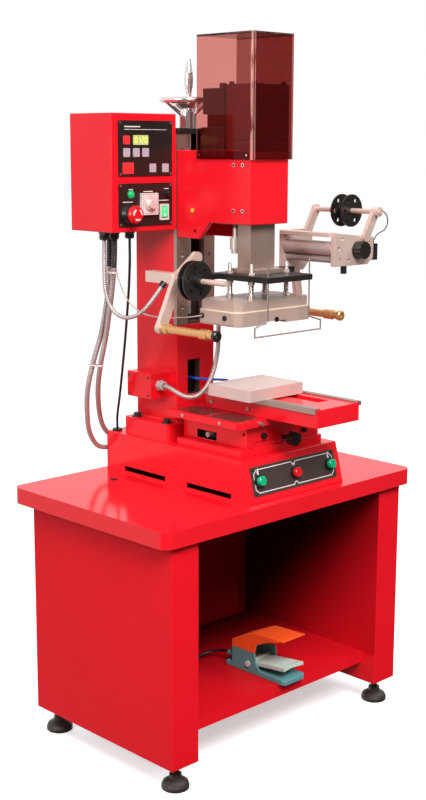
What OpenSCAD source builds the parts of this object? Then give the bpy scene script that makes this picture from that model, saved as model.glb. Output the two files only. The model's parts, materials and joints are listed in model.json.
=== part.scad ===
// Hot foil stamping press on a cabinet stand, in millimetres.
// Floor is z = 0, the operator stands at -Y, +X is to the operator's right.
// Pieces are drawn about the table's centre and then moved by y_mid.

/* [Clearances] */
// gap between two sliding or swinging bodies
gap = 0.3; // [0.2:0.05:1]
// radial gap of a shaft that runs in its bore
run = 0.05; // [0.02:0.01:0.1]

/* [Table] */
// width of the table top
table_w = 820; // [700:1:1000]
// depth of the table top
table_d = 530; // [460:1:600]
// height of the table top above the floor
table_h = 600; // [500:1:800]
// depth of the folded edge
table_t = 38; // [30:1:60]
// radius of the corners
table_r = 25; // [10:1:40]
// sheet thickness of the stand
sheet = 2.5; // [1.5:0.1:4]

/* [Cabinet] */
// width of each pedestal
ped_w = 78; // [60:1:110]
// inset of the pedestals from the table sides
ped_side = 30; // [10:1:60]
// inset of the pedestals from the table front
ped_front = 14; // [6:1:40]
// inset of the pedestals from the table back
ped_back = 38; // [6:1:60]
// height of the pedestals' bottom above the floor
ped_z = 58; // [46:1:80]
// height of the shelf top above the floor
shelf_z = 135; // [110:1:220]
// depth of the shelf's folded edge
shelf_t = 30; // [15:1:40]
// distance of the shelf edge behind the pedestal fronts
shelf_in = 43; // [10:1:80]
// thickness of the plates that the feet screw into
foot_plate = 5; // [3:0.5:10]

/* [Feet] */
// radius of a foot pad
pad_r = 31; // [24:0.5:45]
// height of a foot pad
pad_h = 34; // [26:0.5:40]
// radius of the threaded stem
stem_r = 8; // [6:0.5:10]
// across-corner radius of the lock nut
nut_r = 14; // [12:0.5:18]
// height of the lock nut
nut_h = 12; // [8:0.5:14]
// distance of the feet from the table sides
foot_side = 68; // [55:1:80]
// distance of the front feet from the table front
foot_front = 46; // [40:1:80]
// distance of the rear feet from the table back
foot_back = 73; // [70:1:120]

/* [Base housing] */
// left side of the base housing
base_x0 = -136; // [-200:1:-130]
// right side of the base housing
base_x1 = 182; // [165:1:260]
// front foot of the slanted face
base_front = -237; // [-250:1:-225]
// back of the base housing
base_back = 250; // [240:1:258]
// height of the base housing
base_h = 95; // [85:1:140]
// set-back of the slanted face at its top
base_lean = 25; // [10:1:35]
// wall of the base housing
base_wall = 3; // [2:0.5:5]
// height of the vent slots
vent_h = 12; // [6:1:16]
// height of the vent slots above the table
vent_z = 5; // [4:1:10]
// length of each vent slot
vent_l = 146; // [80:1:180]

/* [Start panel] */
// width of the start panel
start_w = 278; // [260:1:290]
// height of the start panel along the slope
start_h = 66; // [50:1:78]
// thickness of the start panel
start_t = 2; // [1:0.5:4]
// distance from the stop button to each start button
start_pitch = 118; // [90:1:122]
// radius of a button cap
cap_r = 11.2; // [9:0.1:13]
// radius of a button collar
collar_r = 14.5; // [13.7:0.1:16]
// height of a button collar
collar_h = 6; // [4:0.5:9]
// travel of a push button
press = 4; // [2:0.5:5]

/* [Column] */
// centre of column, head and ram from the table's centre
axis_x = -29.5; // [-40:0.5:0]
// width of column and head
col_w = 121; // [110:1:140]
// front of the ways
col_front = 47; // [44:1:60]
// depth of the column
col_d = 143; // [125:1:150]
// height of the column above the base
col_h = 710; // [690:1:800]
// wall of the column
col_wall = 12; // [8:1:16]
// thickness of the steel ways
way_t = 10; // [6:1:14]
// width of each way
way_w = 34; // [24:1:38]
// height of the lower end of the ways above the base
way_z = 274; // [240:1:300]
// margin of the foot flange beside the column
foot_x = 37; // [28:1:40]
// height of the foot flange
foot_h = 43; // [20:1:45]
// thickness of the black cap
cap_t = 13; // [8:1:20]
// radius of the lead screw
screw_r = 8; // [6:0.5:10]
// depth of the lead screw behind the front of the ways
screw_in = 27; // [24:0.5:32]
// width of the window near the foot
window_w = 39; // [20:1:50]
// height of the window near the foot
window_h = 81; // [40:1:100]

/* [Junction box] */
// depth of the junction box out from the column
jbox_x = 60; // [40:1:80]
// front of the junction box behind the front of the ways
jbox_in = 24; // [10:1:40]
// length of the junction box
jbox_y = 85; // [60:1:100]
// height of the junction box
jbox_h = 60; // [40:1:80]
// height of its bottom above the base
jbox_z = 102; // [80:1:130]
// wall of the boxes
box_wall = 2; // [1:0.5:4]

/* [Control box] */
// width of the control box
ctrl_w = 191; // [185:1:240]
// depth of the control box
ctrl_d = 145; // [120:1:180]
// height of the control box
ctrl_h = 259; // [250:1:320]
// height of its bottom above the base
ctrl_z = 495; // [470:1:510]
// thickness of the black panels
panel_t = 2; // [1:0.5:3]
// width of the black panels
panel_w = 158; // [150:1:170]
// height of the upper panel
panel_up = 121; // [112:1:124]
// height of the lower panel
panel_lo = 95; // [90:1:98]
// height of the lower panel's bottom above the box bottom
panel_z = 12; // [6:1:14]
// strip of the box that shows between the panels
panel_gap = 15; // [10:1:18]
// side of a small key
key_s = 19; // [14:0.5:22]
// height that the keys stand out
key_t = 1.2; // [0.8:0.1:3]
// radius of the emergency stop head
stop_r = 20; // [15:0.5:22]
// travel of the emergency stop
stop_press = 6; // [3:0.5:7]
// side of the temperature controller
temp_s = 48; // [44:1:52]
// radius of the temperature dial
dial_r = 15; // [10:0.5:20]
// length of the rocker
rocker_l = 27; // [20:0.5:30]
// width of the rocker
rocker_w = 18; // [12:0.5:20]

/* [Glands] */
// radius of a conduit gland
gland_r = 11; // [9:0.5:13]
// length of a conduit gland
gland_l = 18; // [15:1:30]

/* [Head] */
// height of the head's underside above the base
head_z = 515; // [500:1:530]
// height of the head
head_h = 159; // [150:1:175]
// reach of the head in front of the ways
head_d = 234; // [225:1:245]
// drop of the guide cheeks below the head
cheek_h = 38; // [20:1:60]
// depth of the guide cheeks
cheek_d = 72; // [50:1:90]
// wall of the head
head_wall = 12; // [8:0.5:14]
// thickness of the ram guide plate
guide_t = 28; // [16:1:40]
// width of the lead screw nut
nut_w = 40; // [30:1:44]

/* [Smoked cover] */
// height of the cover
cover_h = 268; // [240:1:300]
// height that the cover laps over the head
cover_lap = 19; // [10:1:22]
// wall of the cover
cover_t = 3; // [2:0.5:5]
// depth of the cover
cover_d = 173; // [165:1:185]
// reach of the cover in front of the head
cover_front = 8; // [5:0.5:14]

/* [Handwheel] */
// radius of the rim's centre line
wheel_r = 59; // [45:1:62]
// radius of the rim's section
rim_r = 6.5; // [4:0.5:9]
// height of the rim above the cap
wheel_z = 63; // [50:1:90]
// radius of the hub
hub_r = 17.5; // [14:0.5:22]
// height of the hub
hub_h = 34; // [24:1:40]
// length of the turning grip
grip_l = 82; // [60:1:100]
// greatest radius of the grip
grip_r = 10.5; // [8:0.5:13]
// radius of the grip's pin
pin_r = 3; // [2.5:0.5:4]

/* [Ram] */
// width of the ram
ram_w = 78; // [60:1:80]
// depth of the ram
ram_d = 40; // [30:1:44]
// distance of the ram's centre in front of the ways
ram_y = 195; // [188:1:198]
// clear length of the ram below the head
ram_l = 98; // [90:1:110]
// thickness of the ram's flange
flange_t = 10; // [6:1:14]
// radius of the piston rod
rod_r = 12; // [9:0.5:14]
// radius of the piston
piston_r = 29.7; // [24:0.1:31]
// stroke of the ram
stroke = 75; // [50:1:80]
// thickness of the black tool plate
tool_t = 13; // [8:1:16]
// width of the black tool plate
tool_w = 146; // [140:1:160]
// depth of the black tool plate
tool_d = 167; // [160:1:175]
// reach of the tool plate in front of the ram's centre
tool_reach = 104; // [98:1:108]

/* [Heater] */
// width of the heater
heat_w = 236; // [220:1:260]
// depth of the heater
heat_d = 132; // [120:1:140]
// height of the upper layer
heat_up = 22; // [12:1:26]
// height of the lower layer
heat_lo = 32; // [26:1:40]
// corner radius of the heater
heat_r = 18; // [8:1:24]
// length of the posts between tool plate and heater
post_l = 41; // [34:1:50]
// radius of a post's stud
stud_r = 4; // [3:0.5:5]
// radius of the bail wire
wire_r = 1.75; // [1:0.25:2.5]

/* [Foil unit] */
// height of the unwind axis above the tool plate's underside
spool_up = 5; // [0:1:12]
// distance of the unwind axis from the ram's centre
spool_x = 170.5; // [165:0.5:176]
// radius of the unwind flanges
spool_r = 43; // [36:1:48]
// width of the unwind spool
spool_w = 20; // [14:1:40]
// distance of the left guide roller from the unwind axis
lead_x = 49; // [45:1:54]
// drop of the left guide roller below the unwind axis
lead_z = 104; // [98:1:108]
// radius of the guide rollers
lead_r = 9; // [7:0.5:11]
// thickness of the aluminium plates
arm_t = 12; // [8:1:14]
// width of the aluminium arms
arm_w = 26; // [22:1:28]
// radius of the fixed spool shafts
shaft_r = 6; // [5:0.5:7]
// clear width between the right side plates
feed_l = 148; // [140:1:154]
// distance of the feed roller from the ram's centre
feed_x = 174.5; // [172:0.5:178]
// radius of the feed roller
feed_r = 16; // [13:0.5:17]
// radius of the pinch roller
pinch_r = 9; // [7:0.5:10]
// radius of the rewind flanges
reel_r = 38; // [30:1:42]
// radius of the tension knob
knob_r = 20; // [14:0.5:22]

/* [Work table] */
// thickness of the fixed block
fix_t = 17; // [12:1:24]
// height of the saddle
saddle_h = 52; // [48:1:60]
// thickness of the cross plate
plate_t = 16; // [12:1:24]
// height of the work slide
slide_h = 41; // [34:1:50]
// width of the work slide
slide_w = 140; // [110:1:150]
// length of the work slide
slide_l = 347; // [330:1:370]
// front of the work slide, measured from the table's centre
slide_front = 357; // [340:1:365]
// thickness of the steel edge strips
strip_t = 3; // [2:0.5:5]
// width of the guide rails
rail_w = 60; // [40:1:66]
// height of the guide rails
rail_h = 12; // [6:1:14]
// width of the T-slot
slot_w = 36; // [20:1:44]
// width of the fixture block
fixture_w = 175; // [150:1:180]
// depth of the fixture block
fixture_d = 133; // [110:1:140]
// height of the fixture block
fixture_h = 26; // [15:1:36]
// radius of the saddle knob
turn_r = 16; // [12:0.5:18]

/* [Pedal] */
// width of the pedal
pedal_w = 76; // [70:1:90]
// length of the pedal
pedal_l = 194; // [180:1:210]
// thickness of the pedal's base
pedal_t = 12; // [8:1:14]
// wall of the guard and cheeks
guard_t = 4; // [3:0.5:6]
// height of the pivot above the shelf
pivot_z = 23; // [23:1:30]
// distance of the pivot behind the pedal's front
pivot_y = 119; // [110:1:124]
// radius of the pivot pin
pivot_r = 4; // [3:0.5:5]
// height of the cheeks above the shelf
cheek_top = 54; // [46:1:60]
// rise of the guard's roof above the cheeks
guard_h = 56; // [48:1:70]
// upward tilt of the treadle
treadle_tilt = 7; // [6:0.5:9]

/* [Cords] */
// outer radius of a base conduit
base_hose_r = 6.5; // [4:0.25:8]
// outer radius of the foil arm's conduit
reel_hose_r = 4.75; // [3:0.25:6]
// outer radius of the heater's conduit
heat_hose_r = 5.5; // [3:0.25:7]
// depth of a conduit's ribs
rib_d = 0.9; // [0.4:0.1:1.5]
// radius of the black cord
cord_r = 3; // [2:0.25:4]
// radius of the sensor wire
wire_sense_r = 1.6; // [1:0.1:2.5]
// radius of the air tube
air_r = 3; // [2:0.25:4]
// radius of the pedal cord
pedal_cord_r = 3.5; // [2:0.25:5]
// radius of the wire at the rewind reel
reel_wire_r = 1.3; // [0.8:0.1:2]

/* [Hidden] */
$fn = 48;
eps = 0.01;
// how far a link's round ends stand out past its bar on each side
link_in = 0.8;

// the box of the part runs from the slide's front to the table's back
y_mid = (slide_front - table_d / 2) / 2;

// levels
z_table = table_h;
z_base = z_table + base_h;
z_fix = z_base + fix_t;
z_plate = z_fix + saddle_h;
z_slide = z_plate + plate_t;
z_strip = z_slide + slide_h;
z_rest = z_strip + strip_t;
z_col = z_base + col_h;
z_cap = z_col + cap_t;
z_head = z_base + head_z;
z_roof = z_head + head_h;
z_ram = z_head - ram_l;
z_tool = z_ram - flange_t;
z_tool0 = z_tool - tool_t;
z_heat = z_tool0 - post_l;
z_heat0 = z_heat - heat_up - heat_lo;

// plan places
ped_x = table_w / 2 - ped_side;
ped_y0 = -table_d / 2 + ped_front;
ped_y1 = table_d / 2 - ped_back;
shelf_y0 = ped_y0 + shelf_in;
foot_places = [for (sx = [-1, 1], y = [-table_d / 2 + foot_front, table_d / 2 - foot_back])
    [sx * (table_w / 2 - foot_side), y]];
base_mid = (base_x0 + base_x1) / 2;
lean = atan(base_lean / base_h);
col_x0 = axis_x - col_w / 2;
col_x1 = axis_x + col_w / 2;
col_y1 = col_front + col_d;
col_face = col_front + way_t;
channel_w = col_w - 2 * way_w;
screw_y = col_front + screw_in;
head_y0 = col_front - gap;
head_y1 = col_front - head_d;
ram_c = col_front - ram_y;
guide_y1 = ram_c + ram_d / 2 + 28;

// a box from one corner to the other
module box(a, b) {
    translate(a) cube(b - a);
}

// a rectangle with true round corners, about its centre
module rounded(w, d, r) {
    square([w - 2 * r, d], center = true);
    square([w, d - 2 * r], center = true);
    for (sx = [-1, 1], sy = [-1, 1])
        translate([sx * (w / 2 - r), sy * (d / 2 - r)]) circle(r);
}

// an outline in Y and Z, drawn along X
module side_profile(x0, x1, points) {
    translate([x0, 0, 0]) rotate([90, 0, 90]) linear_extrude(x1 - x0) polygon(points);
}

// a round bar from p towards the operator
module rod_y(p, length, r) {
    translate(p) rotate([90, 0, 0]) cylinder(h = length, r = r);
}

// a round bar from p towards -X
module rod_x(p, length, r) {
    translate(p) rotate([0, -90, 0]) cylinder(h = length, r = r);
}

// a flat link between two points in X and Z, from y towards the operator
module link(p, q, w, y, t) {
    d = q - p;
    translate([p[0], y, p[1]]) rotate([90, 0, 0]) linear_extrude(t) {
        rotate(atan2(d[1], d[0])) translate([0, link_in - w / 2]) square([norm(d), w - 2 * link_in]);
        circle(w / 2);
        translate(d) circle(w / 2);
    }
}

// a round wire between two points
module wire(a, b, r) {
    d = b - a;
    translate(a) rotate([0, acos(d[2] / norm(d)), atan2(d[1], d[0])]) cylinder(h = norm(d), r = r);
    translate(b) sphere(r * 1.05);
}

module place() {
    translate([0, y_mid, 0]) children();
}

// Table

module table_top() {
    color("red") place() difference() {
        translate([0, 0, z_table - table_t]) linear_extrude(table_t) rounded(table_w, table_d, table_r);
        translate([0, 0, z_table - table_t - 1]) linear_extrude(table_t - sheet + 1)
            rounded(table_w - 2 * sheet, table_d - 2 * sheet, table_r - sheet);
        translate([pedal_gland[0], pedal_gland[1], z_table - sheet - 1])
            cylinder(h = sheet + 2, r = nipple_r + run);
    }
}

// Cabinet

module pedestal(s) {
    x0 = s > 0 ? ped_x - ped_w : -ped_x;
    difference() {
        box([x0, ped_y0, ped_z], [x0 + ped_w, ped_y1, z_table - sheet]);
        box([x0 + sheet, ped_y0 + sheet, ped_z + foot_plate],
            [x0 + ped_w - sheet, ped_y1 - sheet, z_table]);
        for (p = foot_places)
            translate([p[0], p[1], ped_z - 1]) cylinder(h = foot_plate + 2, r = stem_r + gap);
    }
}

module cabinet() {
    inner = ped_x - ped_w + sheet / 2;
    color("red") place() {
        pedestal(-1);
        pedestal(1);
        box([-inner, shelf_y0, shelf_z - sheet], [inner, ped_y1, shelf_z]);
        box([-inner, shelf_y0, shelf_z - shelf_t], [inner, shelf_y0 + sheet, shelf_z]);
        box([-inner, ped_y1 - sheet, shelf_z - shelf_t], [inner, ped_y1, z_table - sheet]);
    }
}

// Feet

seat_z = 12;

module foot_pads() {
    color("black") place() for (p = foot_places) translate([p[0], p[1], 0]) difference() {
        rotate_extrude() polygon([[0, 0], [pad_r - 1.5, 0], [pad_r, 1.5], [pad_r, 9], [pad_r - 3, 16],
            [pad_r - 10, 21], [stem_r + 6.5, pad_h - 10], [stem_r + 5.5, pad_h], [0, pad_h]]);
        translate([0, 0, seat_z]) cylinder(h = pad_h, r = stem_r + run);
    }
}

module foot_stems() {
    color("dimgray") place() for (p = foot_places) translate([p[0], p[1], 0]) {
        translate([0, 0, seat_z]) cylinder(h = ped_z + foot_plate + 20 - seat_z, r = stem_r);
        translate([0, 0, ped_z - nut_h]) cylinder(h = nut_h, r = nut_r, $fn = 6);
    }
}

// Base housing

vent_places = [39, -180];

module base_housing() {
    top_front = base_front + base_lean;
    slant = base_wall / cos(lean);
    color("red") place() difference() {
        side_profile(base_x0, base_x1, [[base_front, z_table], [base_back, z_table], [base_back, z_base],
            [top_front, z_base]]);
        side_profile(base_x0 + base_wall, base_x1 - base_wall, [
            [base_front + slant - tan(lean), z_table - 1], [base_back - base_wall, z_table - 1],
            [base_back - base_wall, z_base - base_wall],
            [top_front + slant - base_wall * tan(lean), z_base - base_wall]]);
        for (y = vent_places)
            box([base_x0 - 1, y, z_table + vent_z], [base_x1 + 1, y + vent_l, z_table + vent_z + vent_h]);
        for (i = [-1, 0, 1]) on_start(i) translate([0, 0, -base_wall - 2])
            cylinder(h = base_wall + 3, r = barrel_r + run);
        // wire way up into the column
        box([col_x0 + col_wall + 6, col_face + col_wall + 6, z_base - base_wall - 1],
            [col_x1 - col_wall - 6, col_y1 - col_wall - 6, z_base + 1]);
        for (p = [black_end, air_end])
            translate([p[0], p[1], z_base - base_wall - 1]) cylinder(h = base_wall + 2, r = nipple_r + run);
        for (p = base_ends)
            rod_y([p[0], base_back + 1, p[2]], base_wall + 2, nipple_r + run);
    }
}

// Start panel, in the slanted face's own plane: x, up the slope, outwards

barrel_r = 10.8;
barrel_l = 14;

module on_front() {
    translate([base_mid, base_front + base_lean / 2, (z_table + z_base) / 2]) rotate([90 - lean, 0, 0])
        children();
}

module on_start(i) {
    on_front() translate([i * start_pitch, 0, 0]) children();
}

module collar() {
    translate([0, 0, start_t]) difference() {
        union() {
            cylinder(h = collar_h, r = collar_r);
            translate([0, 0, -barrel_l]) cylinder(h = barrel_l + eps, r = barrel_r);
        }
        cylinder(h = collar_h + 1, r = cap_r + gap);
        translate([0, 0, -barrel_l - 1]) cylinder(h = barrel_l + 2, r = plunger_r + gap);
    }
}

plunger_r = 5;

module push_cap() {
    z0 = start_t + press + 0.5;
    crown = 1.5;
    translate([0, 0, z0]) cylinder(h = collar_h + 3, r = cap_r);
    translate([0, 0, z0 + collar_h + 3]) cylinder(h = crown, r1 = cap_r, r2 = cap_r - 2);
    translate([0, 0, start_t - barrel_l]) cylinder(h = z0 - start_t + barrel_l + eps, r = plunger_r);
}

module start_left() { color("green") place() on_start(-1) push_cap(); }
module start_right() { color("green") place() on_start(1) push_cap(); }
module stop_button() { color("red") place() on_start(0) push_cap(); }

// Column

flange_y0 = col_front - 9;
flange_y1 = col_y1 + 5;
bolt_places = [for (x = [col_x0 - foot_x / 2, col_x1 + foot_x / 2],
    y = [flange_y0 + 24, flange_y1 - 26]) [x, y]];
window_z = z_base + 107;

module column() {
    inner_x0 = col_x0 + col_wall;
    inner_x1 = col_x1 - col_wall;
    color("red") place() difference() {
        union() {
            translate([axis_x, (flange_y0 + flange_y1) / 2, z_base]) linear_extrude(foot_h)
                rounded(col_w + 2 * foot_x, flange_y1 - flange_y0, 8);
            box([col_x0, col_front, z_base], [col_x1, col_y1, z_base + way_z]);
            box([col_x0, col_face, z_base + way_z - 1], [col_x1, col_y1, z_col]);
        }
        box([inner_x0, col_face + col_wall, z_base - 1], [inner_x1, col_y1 - col_wall, z_col + 1]);
        box([axis_x - channel_w / 2, col_front - 1, z_base + way_z + 6],
            [axis_x + channel_w / 2, col_face + col_wall + 1, z_col + 1]);
        box([axis_x - channel_w / 2 + 2, flange_y0 - 1, window_z],
            [axis_x - channel_w / 2 + 2 + window_w, col_face + col_wall + 1, window_z + window_h]);
        for (p = bolt_places) translate([p[0], p[1], z_base - 1]) cylinder(h = foot_h + 2, r = 5 + run);
        // wire ways to the two boxes
        for (z = [jbox_mid, ctrl_mid]) rod_x([inner_x0 + 1, port_y, z], col_wall + 2, 10);
    }
}

port_y = col_front + 60;
jbox_mid = z_base + jbox_z + jbox_h / 2;
ctrl_mid = z_base + ctrl_z + 90;

module column_ways() {
    color("silver") place() for (x = [col_x0, col_x1 - way_w]) difference() {
        box([x, col_front, z_base + way_z], [x + way_w, col_face, z_col]);
        // screws that hold the way
        for (z = [z_base + way_z + 40 : 120 : z_col - 30])
            rod_y([x + way_w / 2, col_front + 4, z], 5, 5);
    }
}

module column_cap() {
    color("black") place() difference() {
        box([col_x0, col_front - 5, z_col], [col_x1, col_y1, z_cap]);
        translate([axis_x, screw_y, z_col - 1]) cylinder(h = cap_t + 2, r = screw_r + run);
    }
}

module bolt(r, h) {
    cylinder(h = 2, r = r + 3);
    translate([0, 0, 2]) cylinder(h = h, r = r, $fn = 6);
}

module frame_screws() {
    color("black") place() {
        for (p = bolt_places) translate([p[0], p[1], z_base + foot_h]) {
            bolt(9, 8);
            translate([0, 0, -foot_h]) cylinder(h = foot_h + eps, r = 5);
        }
        for (sx = [-1, 1], z = [panel_lo_z + 5, panel_lo_z + panel_lo - 5, panel_up_z + 5,
            panel_up_z + panel_up - 5])
            on_ctrl(panel_x + sx * (panel_w / 2 - 5), z) translate([0, 0, panel_t])
                cylinder(h = 1.4, r = 2.6);
        for (sx = [-1, 1], sy = [-1, 1]) on_front()
            translate([sx * (start_w / 2 - 6), sy * (start_h / 2 - 6), start_t]) cylinder(h = 1.4, r = 2.6);
        for (y = [jbox_front + 9, jbox_front + jbox_y - 9],
            z = [jbox_mid - jbox_h / 2 + 9, jbox_mid + jbox_h / 2 - 9])
            rod_x([col_x0 - jbox_x, y, z], 1.4, 2.6);
    }
}

// Junction box

jbox_front = col_front + jbox_in;
jbox_gland = [col_x0 - 34, jbox_front, jbox_mid + 2];

module junction_box() {
    z0 = z_base + jbox_z;
    x0 = col_x0 - jbox_x;
    color("red") place() difference() {
        box([x0, jbox_front, z0], [col_x0, jbox_front + jbox_y, z0 + jbox_h]);
        box([x0 + box_wall, jbox_front + box_wall, z0 + box_wall],
            [col_x0 + 1, jbox_front + jbox_y - box_wall, z0 + jbox_h - box_wall]);
        rod_y(jbox_gland + [0, box_wall + 1, 0], box_wall + 2, nipple_r + run);
    }
}

// Control box

ctrl_x0 = col_x0 - ctrl_w;
ctrl_y0 = col_front + 0.5;
ctrl_z0 = z_base + ctrl_z;
panel_x = ctrl_x0 + ctrl_w / 2 + 1.5;
panel_lo_z = ctrl_z0 + panel_z;
panel_up_z = panel_lo_z + panel_lo + panel_gap;

// places on the panels, from the panel's centre line and the panel's bottom
temp_at = [panel_x + 6, panel_lo_z + 49];
rocker_at = [panel_x + 53, panel_lo_z + 30];
stop_at = [panel_x - 53, panel_lo_z + 28];
lamp_at = [panel_x - 45, panel_lo_z + 71];
fuse_at = [panel_x + 62, panel_lo_z + 70];

// the front of the box: x, z up, outwards
module on_ctrl(x, z) {
    translate([x, ctrl_y0, z]) rotate([90, 0, 0]) children();
}

module control_holes(depth) {
    on_ctrl(temp_at[0], temp_at[1]) translate([0, 0, -depth]) cylinder(h = depth + panel_t + 1, r = 12);
    on_ctrl(rocker_at[0], rocker_at[1]) translate([0, 0, -depth / 2 + panel_t / 2])
        cube([rocker_w + 2 * gap, rocker_l + 2 * gap, depth + panel_t + 2], center = true);
    on_ctrl(stop_at[0], stop_at[1]) translate([0, 0, -depth])
        cylinder(h = depth + panel_t + 1, r = barrel_r + run);
}

module control_box() {
    color("red") place() difference() {
        box([ctrl_x0, ctrl_y0, ctrl_z0], [col_x0, ctrl_y0 + ctrl_d, ctrl_z0 + ctrl_h]);
        box([ctrl_x0 + box_wall, ctrl_y0 + box_wall, ctrl_z0 + box_wall],
            [col_x0 - box_wall, ctrl_y0 + ctrl_d - box_wall, ctrl_z0 + ctrl_h - box_wall]);
        control_holes(box_wall + 1);
        for (p = ctrl_glands) translate([p[0], p[1], ctrl_z0 - 1])
            cylinder(h = box_wall + 2, r = nipple_r + run);
        rod_x([col_x0 + 1, port_y, ctrl_mid], box_wall + 2, 10);
    }
}

module front_panels() {
    color("black") place() {
        difference() {
            on_front() linear_extrude(start_t) rounded(start_w, start_h, 4);
            for (i = [-1, 0, 1]) on_start(i) translate([0, 0, -1])
                cylinder(h = start_t + 2, r = barrel_r + run);
        }
        difference() {
            for (p = [[panel_lo_z, panel_lo], [panel_up_z, panel_up]])
                on_ctrl(panel_x, p[0] + p[1] / 2) linear_extrude(panel_t) rounded(panel_w, p[1], 3);
            control_holes(0);
        }
    }
}

// keys from the panel's centre line and bottom: place, width, height
key_places = [[-56, 52, key_s, key_s], [-28, 52, key_s, key_s], [-1, 52, key_s, key_s],
    [20, 18, key_s, key_s], [58, 18, key_s, key_s], [-56, 79, key_s, key_s], [-52, 18, 32, 25]];

module display_keys() {
    color("thistle") place() {
        for (k = key_places) on_ctrl(panel_x + k[0], panel_up_z + k[1]) translate([0, 0, panel_t])
            linear_extrude(key_t) rounded(k[2], k[3], 2);
        on_ctrl(panel_x - 15, panel_up_z + 79) translate([0, 0, panel_t]) linear_extrude(key_t)
            rounded(44, 21, 1.5);
        on_ctrl(lamp_at[0], lamp_at[1]) translate([0, 0, panel_t]) {
            cylinder(h = 3, r = 9);
            cylinder(h = 5, r = 7.5);
            translate([0, 0, 5]) cylinder(h = 2, r1 = 7.5, r2 = 5);
        }
    }
}

temp_t = 8;
dial_pin = 3;

module white_bezels() {
    color("white") place() {
        on_ctrl(temp_at[0], temp_at[1]) translate([0, 0, panel_t]) difference() {
            union() {
                linear_extrude(temp_t) rounded(temp_s, temp_s, 2);
                translate([0, 0, -panel_t - 14]) cylinder(h = panel_t + 14 + eps, r = 12 - run);
            }
            translate([0, 0, -panel_t - 15]) cylinder(h = panel_t + temp_t + 20, r = dial_pin + run);
        }
        on_ctrl(rocker_at[0], rocker_at[1]) translate([0, 0, panel_t]) linear_extrude(3) difference() {
            rounded(rocker_w + 9, rocker_l + 9, 1.5);
            square([rocker_w + 2 * gap, rocker_l + 2 * gap], center = true);
        }
    }
}

module temp_dial() {
    color("silver") place() on_ctrl(temp_at[0], temp_at[1]) translate([0, 0, panel_t]) {
        translate([0, 0, temp_t + gap]) cylinder(h = 3, r = dial_r);
        translate([0, 0, temp_t + gap + 3 - eps]) cylinder(h = 9, r = dial_r - 5);
        translate([0, 0, temp_t + gap + 11]) translate([-1.5, 0, 0]) cube([3, dial_r - 5.5, 1.6]);
        translate([0, 0, -panel_t - 12]) cylinder(h = panel_t + 12 + temp_t + 1, r = dial_pin);
    }
}

rocker_pivot = -3;

module rocker() {
    color("limegreen") place() on_ctrl(rocker_at[0], rocker_at[1]) translate([0, 0, panel_t + rocker_pivot])
        rotate([90, 0, 90]) intersection() {
            translate([0, 0, -rocker_w / 2]) cylinder(h = rocker_w, r = rocker_l / 2);
            translate([0, 0, -rocker_w / 2 - 1]) linear_extrude(rocker_w + 2) polygon([[-rocker_l, -4],
                [rocker_l, -4], [rocker_l, 4.5], [rocker_l / 2, 6.2], [0, 6.6], [-rocker_l / 2, 9.5],
                    [-rocker_l, 9.5]]);
        }
}

stop_neck = 12;

module estop() {
    color("red") place() on_ctrl(stop_at[0], stop_at[1]) translate([0, 0, panel_t]) rotate_extrude()
        polygon([
        [0, -10], [7, -10], [7, 4 + stop_press], [stop_neck, 4 + stop_press], [stop_neck, 20],
            [stop_r - 1, 20],
        [stop_r, 22], [stop_r, 27], [stop_r - 2, 31], [stop_r - 7, 33.5], [0, 34.5]]);
}

module button_collars() {
    color("black") place() {
        for (i = [-1, 0, 1]) on_start(i) collar();
        on_ctrl(stop_at[0], stop_at[1]) translate([0, 0, panel_t]) rotate_extrude() polygon([
            [7 + gap, -barrel_l], [barrel_r, -barrel_l], [barrel_r, 0], [stop_r + 1, 0], [stop_r + 1, 3],
            [stop_neck + 4, 12], [stop_neck + gap, 12], [stop_neck + gap, 3], [7 + gap, 3]]);
        on_ctrl(fuse_at[0], fuse_at[1]) translate([0, 0, panel_t]) {
            cylinder(h = 3, r = 8);
            cylinder(h = 12, r = 5.5);
        }
    }
}

// Glands: a nipple through the sheet, a flange and a clamp nut

nipple_r = 8;
gland_in = 52;
gland_row = 36;
gland_last = 50;
gland_1 = 19;
gland_2 = 49;
gland_3 = 94;
gland_4 = 64;
gland_5 = 91;
gland_y = ctrl_y0 + gland_in;
ctrl_glands = [[ctrl_x0 + gland_1, gland_y], [ctrl_x0 + gland_2, gland_y], [ctrl_x0 + gland_3, gland_y],
    [ctrl_x0 + gland_4, gland_y + gland_row], [ctrl_x0 + gland_5, gland_y + gland_last]];
end_1 = 92;
end_2 = 58;
end_up = 21;
end_low = 47;
base_ends = [[base_x0 + end_1, base_back, z_base - end_up], [base_x0 + end_2, base_back, z_base - end_low]];
elbow_out = 14;
elbow_l = 26;
black_end = [base_x0 + 18, base_back - 18];
air_end = [base_x0 + 236, base_back - 150];
pedal_gland = [-200, 150];
sleeve_h = 5;

module gland() {
    translate([0, 0, -6]) cylinder(h = 6 + eps, r = nipple_r);
    cylinder(h = 6, r = gland_r + 2, $fn = 6);
    translate([0, 0, 6 - eps]) cylinder(h = gland_l - 6, r = gland_r - 1.5);
    translate([0, 0, 8]) cylinder(h = gland_l - 11, r = gland_r, $fn = 12);
}

// elbow: out of the wall along z, then its mouth towards x
module elbow() {
    translate([0, 0, -6]) cylinder(h = 6 + eps, r = nipple_r);
    cylinder(h = 4, r = gland_r + 1, $fn = 6);
    translate([0, 0, 4 - eps]) cylinder(h = elbow_out - 4, r = gland_r - 2);
    translate([0, 0, elbow_out]) sphere(gland_r - 1.6);
    translate([0, 0, elbow_out]) rotate([0, 90, 0]) cylinder(h = elbow_l, r = gland_r - 2);
    translate([elbow_l - 14, 0, elbow_out]) rotate([0, 90, 0]) cylinder(h = 9, r = gland_r, $fn = 12);
}

module grommet() {
    translate([0, 0, -sleeve_h]) cylinder(h = sleeve_h + eps, r = nipple_r);
    cylinder(h = sleeve_h, r = nipple_r + 4);
}

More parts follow.
